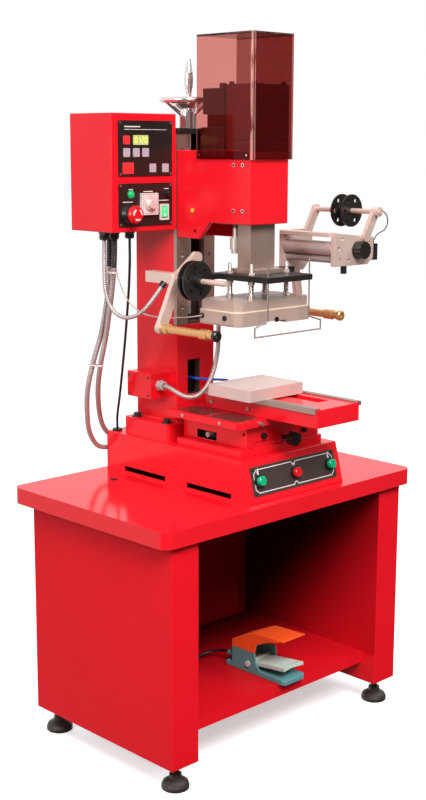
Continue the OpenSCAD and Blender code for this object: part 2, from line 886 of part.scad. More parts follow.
module glands() {
    color("black") place() {
        for (p = ctrl_glands) translate([p[0], p[1], ctrl_z0]) rotate([180, 0, 0]) gland();
        translate(jbox_gland) rotate([90, 0, 0]) gland();
        for (p = base_ends) translate(p) rotate([-90, 180, 0]) elbow();
        for (p = [black_end, air_end]) translate([p[0], p[1], z_base]) grommet();
        translate([pedal_gland[0], pedal_gland[1], z_table - sheet]) rotate([180, 0, 0]) grommet();
    }
}

// Handwheel with its lead screw

grip_turn = 45;

module handwheel() {
    color("silver") place() translate([axis_x, screw_y, z_cap]) {
        translate([0, 0, wheel_z]) rotate_extrude() translate([wheel_r, 0]) circle(rim_r);
        translate([0, 0, gap]) cylinder(h = hub_h - gap, r = hub_r);
        translate([0, 0, hub_h - eps]) cylinder(h = 6, r = hub_r - 4);
        translate([0, 0, hub_h + 6 - eps]) cylinder(h = 7, r = 8, $fn = 6);
        for (a = [0, 120, 240]) rotate(a + grip_turn)
            wire([hub_r - 4, 0, hub_h - 6], [wheel_r, 0, wheel_z], 4.5);
        translate([0, 0, z_base + way_z + 20 - z_cap])
            cylinder(h = z_cap - z_base - way_z - 19, r = screw_r);
        rotate(grip_turn) translate([wheel_r, 0, wheel_z]) {
            cylinder(h = rim_r + grip_l + 2, r = pin_r);
            cylinder(h = rim_r + 2, r = pin_r + 3);
            translate([0, 0, rim_r + grip_l + 2 + 2 * gap]) cylinder(h = 3, r = pin_r + 2.5);
            translate([0, 0, rim_r + grip_l]) cylinder(h = 3, r = pin_r);
        }
    }
}

module wheel_grip() {
    color("silver") place() translate([axis_x, screw_y, z_cap]) rotate(grip_turn)
        translate([wheel_r, 0, wheel_z + rim_r + 2 + gap]) rotate_extrude() polygon([
            [pin_r + run, 0], [pin_r + 3.5, 0], [pin_r + 3, 5], [grip_r - 2.5, 17], [grip_r - 0.5, 28],
            [grip_r, grip_l / 2], [grip_r - 1, grip_l - 26], [grip_r - 3.5, grip_l - 13],
                [pin_r + 2, grip_l],
            [pin_r + run, grip_l]]);
}

// Head

nut_z = z_head + 40;
nut_h_head = 90;

module head_housing() {
    low = z_head - cheek_h;
    color("red") place() difference() {
        union() {
            difference() {
                side_profile(col_x0, col_x1, [[head_y0, low], [head_y0 - cheek_d, low],
                    [head_y0 - cheek_d - 34, z_head], [head_y1, z_head], [head_y1, z_roof],
                    [head_y0, z_roof]]);
                box([col_x0 + head_wall, head_y1 + head_wall, low - 1],
                    [col_x1 - head_wall, head_y0 - head_wall, z_roof - head_wall]);
            }
            // plate that guides the ram
            box([col_x0 + head_wall - 1, head_y1 + head_wall - 1, z_head + 2],
                [col_x1 - head_wall + 1, guide_y1, z_head + 2 + guide_t]);
            // nut on the lead screw
            box([axis_x - nut_w / 2, head_y0 - head_wall, nut_z],
                [axis_x + nut_w / 2, screw_y + screw_r + 8, nut_z + nut_h_head]);
        }
        translate([axis_x, ram_c, z_head + 1]) linear_extrude(guide_t + 2)
            square([ram_w + 2 * gap, ram_d + 2 * gap], center = true);
        translate([axis_x, ram_c, z_roof - head_wall - 1]) cylinder(h = head_wall + 2, r = rod_r + 1);
        translate([axis_x, screw_y, nut_z - 1]) cylinder(h = nut_h_head + 2, r = screw_r + gap);
        rod_x([col_x0 + 4, head_y0 - cheek_d + 12, low + 17], 5, 5);
    }
}

side_lo = 30;
side_hi = 128;
side_back = 11;
side_fore = 17;
side_screws = [for (y = [ram_c + side_back, ram_c - side_fore],
    z = [z_head + side_lo, z_head + side_hi]) [y, z]];
cover_y1 = head_y1 - cover_front;
cover_screws = [head_y1 + 8, cover_y1 + cover_d - 10];

module head_screws() {
    color("silver") place() for (s = side_screws) {
        rod_x([col_x0, s[0], s[1]], 2.2, 4.5);
        rod_x([col_x1 + 2.2, s[0], s[1]], 2.2, 4.5);
    }
    color("silver") place() for (y = cover_screws, s = [-1, 1])
        rod_x([axis_x + s * (col_w / 2) + (s > 0 ? cover_t + 2.5 : 0), y,
            z_roof - cover_lap / 2], cover_t + 2.5, 2.2);
}

// Smoked cover

cover_gap = 0.5;

module smoked_cover() {
    x0 = col_x0 - cover_gap - cover_t;
    x1 = col_x1 + cover_gap + cover_t;
    z0 = z_roof - cover_lap;
    y2 = cover_y1 + cover_d;
    color("brown", 0.5) place() difference() {
        box([x0, cover_y1, z0], [x1, y2, z0 + cover_h]);
        box([x0 + cover_t, cover_y1 + cover_t, z0 - 1], [x1 - cover_t, y2 + 1, z0 + cover_h - cover_t]);
        for (y = cover_screws, s = [-1, 1])
            rod_x([axis_x + s * (col_w / 2) + (s > 0 ? cover_t + 3 : 1), y,
                z_roof - cover_lap / 2], cover_t + 4, 2.2 + run);
    }
}

// Air cylinder, valve and counter under the cover

air_w = 84;
air_l = col_w - 11;
air_c = 23;
tube_l = stroke + 20;
seam_h = 1.6;
air_y = max(ram_c, head_y1 + air_w / 2 - 3);

module air_cylinder() {
    z1 = z_roof + air_c;
    z2 = z1 + tube_l;
    color("dimgray") place() difference() {
        union() {
            box([axis_x - air_l / 2, air_y - air_w / 2, z_roof],
                [axis_x + air_l / 2, air_y + air_w / 2, z2 + air_c]);
            for (sx = [-1, 1], sy = [-1, 1])
                translate([axis_x + sx * (air_l / 2 - 9), air_y + sy * (air_w / 2 - 9), z2 + air_c - eps])
                    cylinder(h = 6, r = 6, $fn = 6);
        }
        // seams between the barrel and its end caps
        for (z = [z1, z2 - seam_h]) translate([axis_x, air_y, z]) linear_extrude(seam_h) difference() {
            square([air_l + 2, air_w + 2], center = true);
            square([air_l - 3, air_w - 3], center = true);
        }
        translate([axis_x, ram_c, z1]) cylinder(h = tube_l, r = piston_r + gap);
        translate([axis_x, ram_c, z_roof - 1]) cylinder(h = air_c + 2, r = rod_r + run);
    }
}

valve_x = col_x0 + 4;
valve_y0 = air_y + air_w / 2 + 4;

module air_valve() {
    y1 = cover_y1 + cover_d - cover_t - 4;
    reg = [axis_x - 30, guide_y1 - 14];
    color("black") place() {
        box([valve_x, valve_y0, z_roof], [valve_x + 66, y1, z_roof + 50]);
        box([valve_x + 12, valve_y0 + 8, z_roof + 50 - eps], [valve_x + 54, y1 - 8, z_roof + 78]);
        box([valve_x + 4, valve_y0 + 2, z_roof + 78 - eps], [valve_x + 62, y1 - 2, z_roof + 134]);
        translate([valve_x + 33, (valve_y0 + y1) / 2, z_roof + 134 - eps]) cylinder(h = 12, r = 8);
        // flow regulator under the head
        translate([reg[0], reg[1], z_head + 2 - 68]) {
            cylinder(h = 9, r = 10);
            translate([0, 0, 9 - eps]) cylinder(h = 26, r = 13);
            translate([0, 0, 35 - 2 * eps]) cylinder(h = 33 + 2 * eps, r = 7);
        }
    }
}

// Ram

flange_d = 80;
flange_fore = 42;

module ram() {
    rod_l = z_roof + air_c + tube_l - 5 - z_head - guide_t - 40;
    color("silver") place() translate([axis_x, ram_c, 0]) {
        translate([-ram_w / 2, -ram_d / 2, z_ram]) cube([ram_w, ram_d, z_head + guide_t + 40 - z_ram]);
        translate([-ram_w / 2 - 6, -flange_fore, z_tool]) cube([ram_w + 12, flange_d, flange_t + eps]);
        translate([0, 0, z_head + guide_t + 40 - eps]) cylinder(h = rod_l, r = rod_r);
        translate([0, 0, z_roof + air_c + tube_l - 17]) cylinder(h = 12, r = piston_r);
    }
}

// Tool plate with its two side tongues

tool_y0 = ram_c - tool_reach;
tool_y1 = tool_y0 + tool_d;
arm_back = 80;
arm_y = ram_c + arm_back;
arm_face = arm_y - arm_t;
post_x = ram_w / 2 + 17;
post_places = [for (sx = [-1, 1], dy = [26, -40]) [axis_x + sx * post_x, ram_c + dy]];
bail_y = tool_y0 + 4;
bail_x = [axis_x - tool_w / 2 + 7, axis_x + tool_w / 2 - 7];

module tool_plate() {
    color("black") place() difference() {
        union() {
            box([axis_x - tool_w / 2, tool_y0, z_tool0], [axis_x + tool_w / 2, tool_y1, z_tool]);
            box([axis_x - spool_x + shaft_r + 2, arm_face - 26, z_tool0],
                [axis_x + feed_x, arm_face, z_tool]);
        }
        for (p = post_places) translate([p[0], p[1], z_tool0 - 1])
            cylinder(h = tool_t + 2, r = stud_r + run);
        for (x = bail_x) translate([x, bail_y, z_tool0 - 1]) cylinder(h = tool_t + 2, r = wire_r + run);
    }
}

module posts() {
    color("silver") place() for (p = post_places) translate([p[0], p[1], z_heat]) {
        cylinder(h = post_l + tool_t + 24, r = stud_r);
        cylinder(h = 9, r = stud_r + 4, $fn = 6);
        translate([0, 0, post_l - 8]) cylinder(h = 8, r = stud_r + 4, $fn = 6);
        translate([0, 0, 9 - eps]) cylinder(h = post_l - 17 + 2 * eps, r = stud_r + 1.5);
        translate([0, 0, post_l + tool_t]) cylinder(h = 7, r = stud_r + 3.5, $fn = 6);
    }
}

// Heater

heat_c = ram_c + 2;
sense_dy = 44;
elbow_y = 18;
elbow_z = 22;
heat_gland = [axis_x - 32, heat_c + heat_d / 2, z_heat0 + 24];

module heater() {
    z1 = z_heat0 + heat_lo;
    end_w = 14;
    color("lightgray") place() difference() {
        union() {
            translate([axis_x, heat_c, z_heat0]) linear_extrude(heat_lo) rounded(heat_w, heat_d, heat_r);
            translate([axis_x, heat_c, z1 - eps]) linear_extrude(heat_up + eps)
                rounded(heat_w - 6, heat_d - 6, heat_r);
            // end plate over the cartridges
            box([axis_x - heat_w / 2 - 3, heat_c - heat_d / 2 + heat_r, z_heat0 + 3],
                [axis_x - heat_w / 2 + end_w, heat_c + heat_d / 2 - heat_r, z1]);
            // elbow for the conduit
            rod_y(heat_gland + [0, elbow_y, 0], elbow_y + eps, 8);
            translate(heat_gland + [0, elbow_y, 0]) sphere(8.3);
            translate(heat_gland + [0, elbow_y, -elbow_z]) cylinder(h = elbow_z, r = 8);
        }
        for (dy = [-26, sense_dy])
            rod_x([axis_x - heat_w / 2 + 50, heat_c + dy, z_heat0 + 18], 60, 4);
        rod_y([axis_x, heat_c - heat_d / 2 + 12, z_heat0 + 9], 20, 4);
        // dovetail way for the die under the heater
        side_profile_x(heat_c - heat_d / 2 - 1, heat_c + heat_d / 2 + 1, [[axis_x - 30, z_heat0 - eps],
            [axis_x + 30, z_heat0 - eps], [axis_x + 34, z_heat0 + 6], [axis_x - 34, z_heat0 + 6]]);
    }
}

// an outline in X and Z, drawn along Y
module side_profile_x(y0, y1, points) {
    translate([0, y1, 0]) rotate([90, 0, 0]) linear_extrude(y1 - y0) polygon(points);
}

// Bail: one bent wire in front of the heater

bail_wing = 40;
bail_top = 30;

module bail() {
    zb = z_heat0 + 14;
    pts = [[bail_x[0], z_tool + bail_top], [bail_x[0], zb], [bail_x[0] - bail_wing, zb - 12],
        [bail_x[0] - bail_wing, zb - 32], [bail_x[1] + bail_wing, zb - 32],
            [bail_x[1] + bail_wing, zb - 12],
        [bail_x[1], zb], [bail_x[1], z_tool + bail_top]];
    color("silver") place() for (i = [0 : len(pts) - 2])
        wire([pts[i][0], bail_y, pts[i][1]], [pts[i + 1][0], bail_y, pts[i + 1][1]], wire_r);
}

// Foil unit: x and z of each axis

spool_at = [axis_x - spool_x, z_tool0 + spool_up];
lead_at = spool_at + [-lead_x, -lead_z];
arm_top = spool_at + [57, 43];
feed_at = [axis_x + feed_x, z_tool0 + 61];
pinch_at = feed_at + [5, -sqrt(pow(feed_r + pinch_r + 0.4, 2) - 25)];
reel_at = feed_at + [119, 80];
reel_foot = feed_at + [88, 24];
tail_at = feed_at + [55, -160];
knob_at = feed_at + [65, -5];
feed_y1 = arm_face - feed_l;
reel_out = 10;
front_l = 122;
block_at = feed_at + [front_l, 6];
plug_at = [spool_at[0] - 10, arm_y + 25, spool_at[1] - 10];
plug_l = 13;

module foil_frames() {
    color("gainsboro") place() difference() {
        union() {
            // left arm, its bar, the unwind shaft and the guide roller's pin
            link(lead_at, spool_at, arm_w, arm_y, arm_t);
            link(spool_at, arm_top, arm_w, arm_y, arm_t);
            box([spool_at[0] - 12, arm_y - eps, spool_at[1] - 12],
                [spool_at[0] + 12, arm_y + 86, spool_at[1] + 12]);
            rod_y([spool_at[0], arm_y, spool_at[1]], 158, shaft_r);
            rod_y([lead_at[0], arm_y, lead_at[1]], 176, 5);
            translate(plug_at) rotate([0, -135, 0]) cylinder(h = plug_l, r = 8);
            // right side plates
            translate([0, arm_y, 0]) rotate([90, 0, 0]) linear_extrude(arm_t) polygon([
                [feed_at[0] - 14, z_tool0], [feed_at[0] + 60, z_tool0], [feed_at[0] + 90, feed_at[1] - 30],
                [feed_at[0] + 90, feed_at[1] + 20], [feed_at[0] + 70, feed_at[1] + 36],
                    [feed_at[0] - 14, feed_at[1] + 36]]);
            translate([0, feed_y1, 0]) rotate([90, 0, 0]) linear_extrude(arm_t) polygon([
                [feed_at[0] - 14, feed_at[1] - 40], [feed_at[0] + front_l - 19, feed_at[1] - 40],
                [feed_at[0] + front_l, feed_at[1] - 24], [feed_at[0] + front_l, feed_at[1] + 22],
                [feed_at[0] - 14, feed_at[1] + 36]]);
            // bar over the feed roller
            box([feed_at[0] - 24, feed_y1 - eps, feed_at[1] + 27],
                [feed_at[0] + 2, arm_face + eps, feed_at[1] + 36]);
            // arms and shaft of the rewind reel
            link(reel_foot, reel_at, arm_w - 4, arm_y + reel_out, reel_out + eps);
            link(reel_foot, reel_at, arm_w - 4, feed_y1 - arm_t + eps, reel_out + eps);
            rod_y([reel_at[0], arm_y + reel_out, reel_at[1]], feed_l + 2 * arm_t + 2 * reel_out + 12,
                shaft_r);
            rod_y([reel_at[0], feed_y1 - arm_t - reel_out, reel_at[1]], 10, shaft_r + 5);
            // arm and pin of the right guide roller
            link(feed_at + [30, -30], tail_at, arm_w - 4, arm_y, arm_t);
            rod_y([tail_at[0], arm_y, tail_at[1]], 132, 5);
            // stop block under the front plate and terminal block at its end
            box([feed_at[0] + 19, feed_y1 - arm_t + 1, feed_at[1] - 58],
                [feed_at[0] + 30, feed_y1 - 1, feed_at[1] - 39]);
            box([block_at[0] - eps, feed_y1 - arm_t + 1, block_at[1] - 38],
                [block_at[0] + 18, feed_y1 - 1, block_at[1]]);
        }
        for (a = [[feed_at, 5], [pinch_at, 4]])
            rod_y([a[0][0], arm_y + 1, a[0][1]], feed_l + 2 * arm_t + 2, a[1] + run);
        rod_y([knob_at[0], feed_y1 + 1, knob_at[1]], arm_t + 2, 5 + run);
        for (p = [[12, 22], [35, -28], [108, 10], [106, -20]])
            rod_y([feed_at[0] + p[0], feed_y1 - arm_t + 4, feed_at[1] + p[1]], 6, 4);
    }
}

module flanged(r, hub, w, bore) {
    rotate([90, 0, 0]) rotate_extrude() polygon([[bore, 0], [r, 0], [r, 4], [hub, 5], [hub, w - 5],
        [r, w - 4], [r, w], [bore, w]]);
}

module unwind_spool() {
    color("black") place() translate([spool_at[0], arm_face - 40, spool_at[1]]) difference() {
        union() {
            flanged(spool_r, 20, spool_w, shaft_r + run);
            translate([0, -spool_w + eps, 0]) rotate([90, 0, 0]) rotate_extrude()
                polygon([[shaft_r + run, 0], [14, 0], [12, 14], [shaft_r + run, 14]]);
        }
        for (a = [0 : 60 : 300]) rotate([0, a + 15, 0]) rod_y([29, 1, 0], spool_w + 2, 4);
    }
}

module guide_roller(w, bore) {
    rotate([90, 0, 0]) rotate_extrude() polygon([[bore, 0], [lead_r, 0], [lead_r, 8], [lead_r + 2.5, 9],
        [lead_r + 2.5, 22], [lead_r, 23], [lead_r, w - 52], [lead_r + 2.5, w - 51], [lead_r + 2.5, w - 28],
        [lead_r, w - 27], [lead_r, w - 11], [lead_r + 3, w - 10], [lead_r + 3, w - 2], [lead_r + 1, w],
            [bore, w]]);
}

module left_roller() {
    color("peru") place() translate([lead_at[0], arm_face - gap, lead_at[1]]) guide_roller(172, 5 + run);
}

module right_roller() {
    color("peru") place() translate([tail_at[0], arm_face - gap, tail_at[1]]) guide_roller(126, 5 + run);
}

module feed_roller() {
    color("gray") place() {
        rod_y([feed_at[0], arm_face - gap, feed_at[1]], feed_l - 2 * gap, feed_r);
        rod_y([feed_at[0], arm_y - 2, feed_at[1]], feed_l + 2 * arm_t - 4, 5);
    }
}

module pinch_roller() {
    color("dimgray") place() {
        rod_y([pinch_at[0], arm_face - gap, pinch_at[1]], feed_l - 2 * gap, pinch_r);
        rod_y([pinch_at[0], arm_y - 2, pinch_at[1]], feed_l + 2 * arm_t - 4, 4);
    }
}

module rewind_reel() {
    color("black") place() translate([reel_at[0], arm_face - 62, reel_at[1]]) difference() {
        flanged(reel_r, 16, 34, shaft_r + run);
        for (a = [0 : 60 : 300]) rotate([0, a, 0]) rod_y([26, 1, 0], 36, 5);
    }
}

module tension_knob() {
    color("black") place() {
        rod_y([knob_at[0], feed_y1 - 2, knob_at[1]], arm_t + 4, 5);
        difference() {
            rod_y([knob_at[0], feed_y1 - arm_t - gap, knob_at[1]], 24, knob_r);
            for (a = [0 : 30 : 330]) translate([knob_at[0], 0, knob_at[1]]) rotate([0, a, 0])
                rod_y([knob_r + 1.5, feed_y1 - arm_t - 4, 0], 30, 3);
        }
    }
}

// Work table: fixed block, saddle along Y, cross plate along X, work slide along Y

fix_x0 = base_x0 + 21;
fix_x1 = base_x1 - 25;
fix_y0 = base_front + base_lean + 24;
fix_y1 = col_front - 27;
way_y0 = axis_x - 40;
cross_y = (fix_y0 + fix_y1) / 2;
slide_x = axis_x + 47.5;
slide_y0 = -slide_front;
slide_y1 = slide_y0 + slide_l;
saddle_x0 = fix_x0 + 22;
saddle_x1 = fix_x1 - 10;
plate_x0 = saddle_x0 - 43;
plate_x1 = slide_x + 92;
plate_y0 = fix_y0 - 16;
plate_y1 = col_front - 17;
turn_at = [slide_x + 8, z_fix + 13];
turn_out = 16;
pocket_d = 20;

module xy_base() {
    color("red") place() {
        box([fix_x0, fix_y0, z_base], [fix_x1, fix_y1, z_fix]);
        box([way_y0, fix_y0 + 4, z_fix - eps], [way_y0 + rail_w, fix_y1 - 4, z_fix + rail_h]);
    }
}

module saddle() {
    z0 = z_fix + gap;
    z1 = z_plate - gap;
    color("red") place() {
        difference() {
            box([saddle_x0, fix_y0 + 2, z0], [saddle_x1, fix_y1, z1]);
            box([way_y0 - gap, fix_y0, z0 - 1], [way_y0 + rail_w + gap, fix_y1 + 1, z_fix + rail_h + gap]);
            rod_y([turn_at[0], fix_y0 + 50, turn_at[1]], 60, 5 + run);
            // pocket with the cross screw, and a screw hole
            box([saddle_x0 - 1, cross_y - 4, z0 + 5], [saddle_x0 + pocket_d, cross_y + 58, z0 + 23]);
            rod_x([saddle_x0 + 12, fix_y0 + 12, z1 - 18], 14, 4);
        }
        box([saddle_x0 + 20, cross_y - rail_w / 2, z1 - eps],
            [saddle_x1 - 20, cross_y + rail_w / 2, z1 + rail_h / 2]);
        // lock screws on the front
        rod_y([turn_at[0] - 68, fix_y0 + 2 + eps, z1 - 26], 8, 7);
        rod_y([turn_at[0] + 66, fix_y0 + 2 + eps, z1 - 32], 10, 5);
        rod_x([saddle_x0 + pocket_d + eps, cross_y + 27, z0 + 14], pocket_d - 2, 6);
    }
}

module saddle_knob() {
    color("black") place() {
        rod_y([turn_at[0], fix_y0 + 40, turn_at[1]], 40 + turn_out, 5);
        rod_y([turn_at[0], fix_y0 - turn_out + eps, turn_at[1]], 4, 10);
        difference() {
            rod_y([turn_at[0], fix_y0 - turn_out - 4 + 2 * eps, turn_at[1]], 20, turn_r);
            for (a = [0 : 60 : 300]) translate([turn_at[0], 0, turn_at[1]]) rotate([0, a, 0])
                rod_y([turn_r + 2, fix_y0 - turn_out, 0], 30, 4.5);
        }
    }
}

module cross_plate() {
    color("red") place() difference() {
        union() {
            linear_plate([[plate_x0 + 14, plate_y0], [plate_x1, plate_y0], [plate_x1, plate_y1],
                [plate_x0, plate_y1], [plate_x0, plate_y0 + 10]]);
            box([slide_x - rail_w / 2, plate_y0 + 2, z_slide - eps],
                [slide_x + rail_w / 2, plate_y1 - 2, z_slide + rail_h]);
            for (y = [plate_y0 + 60, plate_y1 - 53]) rod_x([plate_x0 + eps, y, z_plate + 9], 3, 4);
            rod_y([plate_x0 + 66, plate_y0 + eps, z_plate + 8], 9, 4.5);
        }
        box([saddle_x0 + 6, cross_y - rail_w / 2 - gap, z_plate - 1],
            [saddle_x1 - 6, cross_y + rail_w / 2 + gap, z_plate + rail_h / 2 + gap]);
    }
}

module linear_plate(points) {
    translate([0, 0, z_plate]) linear_extrude(plate_t) polygon(points);
}

slot_x = slide_x + 20;
slot_in = 62;
slot_h = 12;

module work_slide() {
    z0 = z_slide + gap;
    color("red") place() difference() {
        box([slide_x - slide_w / 2, slide_y0, z0], [slide_x + slide_w / 2, slide_y1, z_strip]);
        box([slide_x - rail_w / 2 - gap, slide_y0 + 24, z0 - 1],
            [slide_x + rail_w / 2 + gap, slide_y1 + 1, z_slide + rail_h + gap]);
        box([slot_x - slot_w / 2, slide_y0 + slot_in, z_strip - slot_h],
            [slot_x + slot_w / 2, slide_y1 + 1, z_strip + 1]);
    }
}

module slide_rails() {
    x0 = slide_x - slide_w / 2;
    x1 = slide_x + slide_w / 2;
    color("gray") place() {
        box([x0 - strip_t, slide_y0 + 4, z_strip], [x0 + 14, slide_y1, z_rest]);
        box([x0 - strip_t, slide_y0 + 4, z_strip - 10], [x0, slide_y1, z_strip + eps]);
        box([x1 - 9, slide_y0, z_strip], [x1 + 7, slide_y1, z_rest]);
        box([x1, slide_y0, z_strip - 7], [x1 + 7, slide_y1, z_strip + eps]);
        for (y = [slide_y1 - 22, slide_y1 - 139]) rod_x([x0, y, z_strip - 26], 3, 4.5);
    }
}

fixture_x = axis_x + 10;
fixture_y = ram_c + 7;

module fixture_block() {
    color("lightgray") place() difference() {
        translate([fixture_x, fixture_y, z_rest]) linear_extrude(fixture_h)
            rounded(fixture_w, fixture_d, 3);
        for (sx = [-1, 1], sy = [-1, 1])
            translate([fixture_x + sx * (fixture_w / 2 - 14), fixture_y + sy * (fixture_d / 2 - 14),
                z_rest + fixture_h - 8])
                cylinder(h = 9, r = 4);
    }
}

// Foot pedal

pedal_x = 35;
pedal_y0 = shelf_y0 - 19;
pedal_y1 = pedal_y0 + pedal_l;
pedal_x0 = pedal_x - pedal_w / 2;
pedal_x1 = pedal_x + pedal_w / 2;
hinge = [pedal_y0 + pivot_y, shelf_z + pivot_z];
cheek_y1 = pedal_y1 - 20;
cheek_z = shelf_z + cheek_top;
pedal_plug = [pedal_x0 + 14, pedal_y1 + 4, shelf_z + 26];
treadle_w = pedal_w - 2 * guard_t - 2;

module pedal_base() {
    top = shelf_z + pedal_t;
    color("cadetblue") place() difference() {
        union() {
            translate([0, 0, shelf_z]) linear_extrude(pedal_t) polygon([[pedal_x0 + 8, pedal_y0],
                [pedal_x1 - 8, pedal_y0], [pedal_x1, pedal_y0 + 8], [pedal_x1, pedal_y1],
                    [pedal_x0, pedal_y1],
                [pedal_x0, pedal_y0 + 8]]);
            for (x = [pedal_x0, pedal_x1 - guard_t]) side_profile(x, x + guard_t, [
                [hinge[0] - 40, top - eps], [cheek_y1, top - eps], [cheek_y1, cheek_z],
                    [hinge[0] - 20, cheek_z],
                [hinge[0] - 24, hinge[1] + 6]]);
            // switch case behind the treadle
            box([pedal_x0, hinge[0] + 30, top - eps], [pedal_x1, cheek_y1, cheek_z]);
            rod_y(pedal_plug, 26, 6.5);
        }
        rod_x([pedal_x1 + 1, hinge[0], hinge[1]], pedal_w + 2, pivot_r + run);
    }
}

module treadle() {
    x0 = pedal_x - treadle_w / 2;
    x1 = pedal_x + treadle_w / 2;
    tip = 3 - pivot_y;
    color("lightgray") place() translate([0, hinge[0], hinge[1]]) {
        rotate([-treadle_tilt, 0, 0]) difference() {
            union() {
                side_profile(x0, x1, [[tip, -3], [24, -3], [24, 5], [tip, 5]]);
                rod_x([x1, 0, 0], treadle_w, 8.5);
            }
            // notch in the front edge, and grip lines
            translate([0, 0, -10]) linear_extrude(30)
                polygon([[x0 - 1, tip - 1], [x1 + 1, tip - 1], [x1 + 1, tip], [pedal_x, tip + 7],
                [x0 - 1, tip]]);
            for (y = [tip + 14 : 12 : -34]) box([x0 + 6, y, 4.2], [x1 - 6, y + 5, 12]);
        }
        rod_x([pedal_x1 + gap + 3, 0, 0], pedal_w + 2 * gap + 6, pivot_r);
        for (x = [pedal_x0 - gap, pedal_x1 + gap + 3]) rod_x([x, 0, 0], 3, pivot_r + 3.5);
    }
}

module pedal_guard() {
    z0 = cheek_z;
    z1 = z0 + guard_h;
    front = pedal_y0 + 6;
    bend = hinge[0] - 18;
    roof = [[cheek_y1, z0], [cheek_y1, z0 + 17], [bend, z1 - 5], [front, z1], [front, z1 - guard_t],
        [bend, z1 - 5 - guard_t], [cheek_y1 - guard_t, z0 + 17 - guard_t], [cheek_y1 - guard_t, z0]];
    side = [[cheek_y1, z0], [cheek_y1, z0 + 17], [bend, z1 - 5], [front, z1], [front + 16, z1 - 8],
        [front + 50, z1 - 17], [hinge[0] - 26, z1 - 33], [hinge[0] - 20, z0]];
    color("darkorange") place() {
        side_profile(pedal_x0, pedal_x1, roof);
        side_profile(pedal_x0, pedal_x0 + guard_t, side);
        side_profile(pedal_x1 - guard_t, pedal_x1, side);
    }
}

// Cords: routes, then tubes swept along them

function unit(v) = v / norm(v);

// point t of the way from route point i to the next, on a smooth curve through all of them
function on_curve(r, i, t) = let (a = r[max(i - 1, 0)], b = r[i], c = r[i + 1],
    d = r[min(i + 2, len(r) - 1)])
    0.5 * (2 * b + (c - a) * t + (2 * a - 5 * b + 4 * c - d) * t * t + (3 * b - a - 3 * c + d) * t * t * t);

function fine(r, n) = concat([for (i = [0 : len(r) - 2]) for (k = [0 : n - 1]) on_curve(r, i, k / n)],
    [r[len(r) - 1]]);

function lengths(p) = [for (i = 0, s = 0; i < len(p); s = s + (i + 1 < len(p) ? norm(p[i + 1] - p[i])
    : 0), i = i + 1) s];

function at_length(p, sums, s) = let (i = max([for (k = [0 : len(sums) - 2]) if (sums[k] <= s + 1e-6) k]))
    p[i] + (p[i + 1] - p[i]) * (s - sums[i]) / (sums[i + 1] - sums[i]);

function heading(p, i) = unit(p[min(i + 1, len(p) - 1)] - p[max(i - 1, 0)]);

function ring(p, i, r, n, up) = let (t = heading(p, i), u = unit(cross(up, t)), v = cross(t, u))
    [for (k = [0 : n - 1]) p[i] + r * (cos(360 * k / n) * u + sin(360 * k / n) * v)];

function skin(a, b, n) = [for (k = [0 : n - 1]) let (j = (k + 1) % n)
    each [[a + k, b + k, b + j], [a + k, b + j, a + j]]];

function lining(a, b, n) = [for (f = skin(a, b, n)) [f[0], f[2], f[1]]];

// a plain round cord
module cord(route, r, n, per, up) {
    p = fine(route, per);
    m = len(p);
    points = [for (i = [0 : m - 1]) each ring(p, i, r, n, up)];
    faces = concat([for (i = [0 : m - 2]) each skin(i * n, (i + 1) * n, n)],
        [[for (k = [0 : n - 1]) k], [for (k = [0 : n - 1]) m * n - 1 - k]]);
    polyhedron(points, faces, convexity = 10);
}

// a ribbed hose with its bore; both ends stay plain for one diameter
module hose(route, r, bore, ribs, up) {
    n = 8;
    p = fine(route, 10);
    sums = lengths(p);
    total = sums[len(sums) - 1];
    step = (total - 4 * r) / ribs;
    stops = concat([0], [for (i = [0 : ribs - 1]) each [2 * r + i * step, 2 * r + (i + 0.5) * step]],
        [total - 2 * r, total]);
    out = [for (s = stops) at_length(p, sums, s)];
    m = len(out);
    inn = [for (i = [0 : ribs]) at_length(p, sums, total * i / ribs)];
    q = len(inn);
    rad = [for (i = [0 : m - 1]) i % 2 == 0 && i > 0 && i < m - 1 ? r - rib_d : r];
    points = concat([for (i = [0 : m - 1]) each ring(out, i, rad[i], n, up)],
        [for (i = [0 : q - 1]) each ring(inn, i, bore, n, up)]);
    b = m * n;
    rim = [for (k = [0 : n - 1]) let (j = (k + 1) % n) each [[k, j, b + j], [k, b + j, b + k]]];
    e = (m - 1) * n;
    f = b + (q - 1) * n;
    far = [for (k = [0 : n - 1]) let (j = (k + 1) % n) each [[e + k, f + j, e + j], [e + k, f + k, f + j]]];
    faces = concat([for (i = [0 : m - 2]) each skin(i * n, (i + 1) * n, n)],
        [for (i = [0 : q - 2]) each lining(b + i * n, b + (i + 1) * n, n)], rim, far);
    polyhedron(points, faces, convexity = 10);
    echo(str("hose length ", round(total), " ribs ", ribs, " triangles ", len(faces)));
}

// where a cord meets its gland, and the way out of it
function mouth(i) = [ctrl_glands[i][0], ctrl_glands[i][1], ctrl_z0 - gland_l];
function leave(i) = [mouth(i), mouth(i) - [0, 0, 22]];
function elbow_mouth(i) = base_ends[i] + [-elbow_l, elbow_out, 0];
function enter(i) = [elbow_mouth(i) - [22, 0, -0.5], elbow_mouth(i)];

plug_way = [-sin(45), 0, -sin(45)];
plug_mouth = plug_at + (plug_l + 2 * gap) * plug_way;
heat_mouth = heat_gland + [0, elbow_y, -elbow_z - gap];
jbox_mouth = jbox_gland - [0, gland_l, 0];
sense_mouth = [axis_x - heat_w / 2 - 3 - gap, heat_c + sense_dy, z_heat0 + 18];

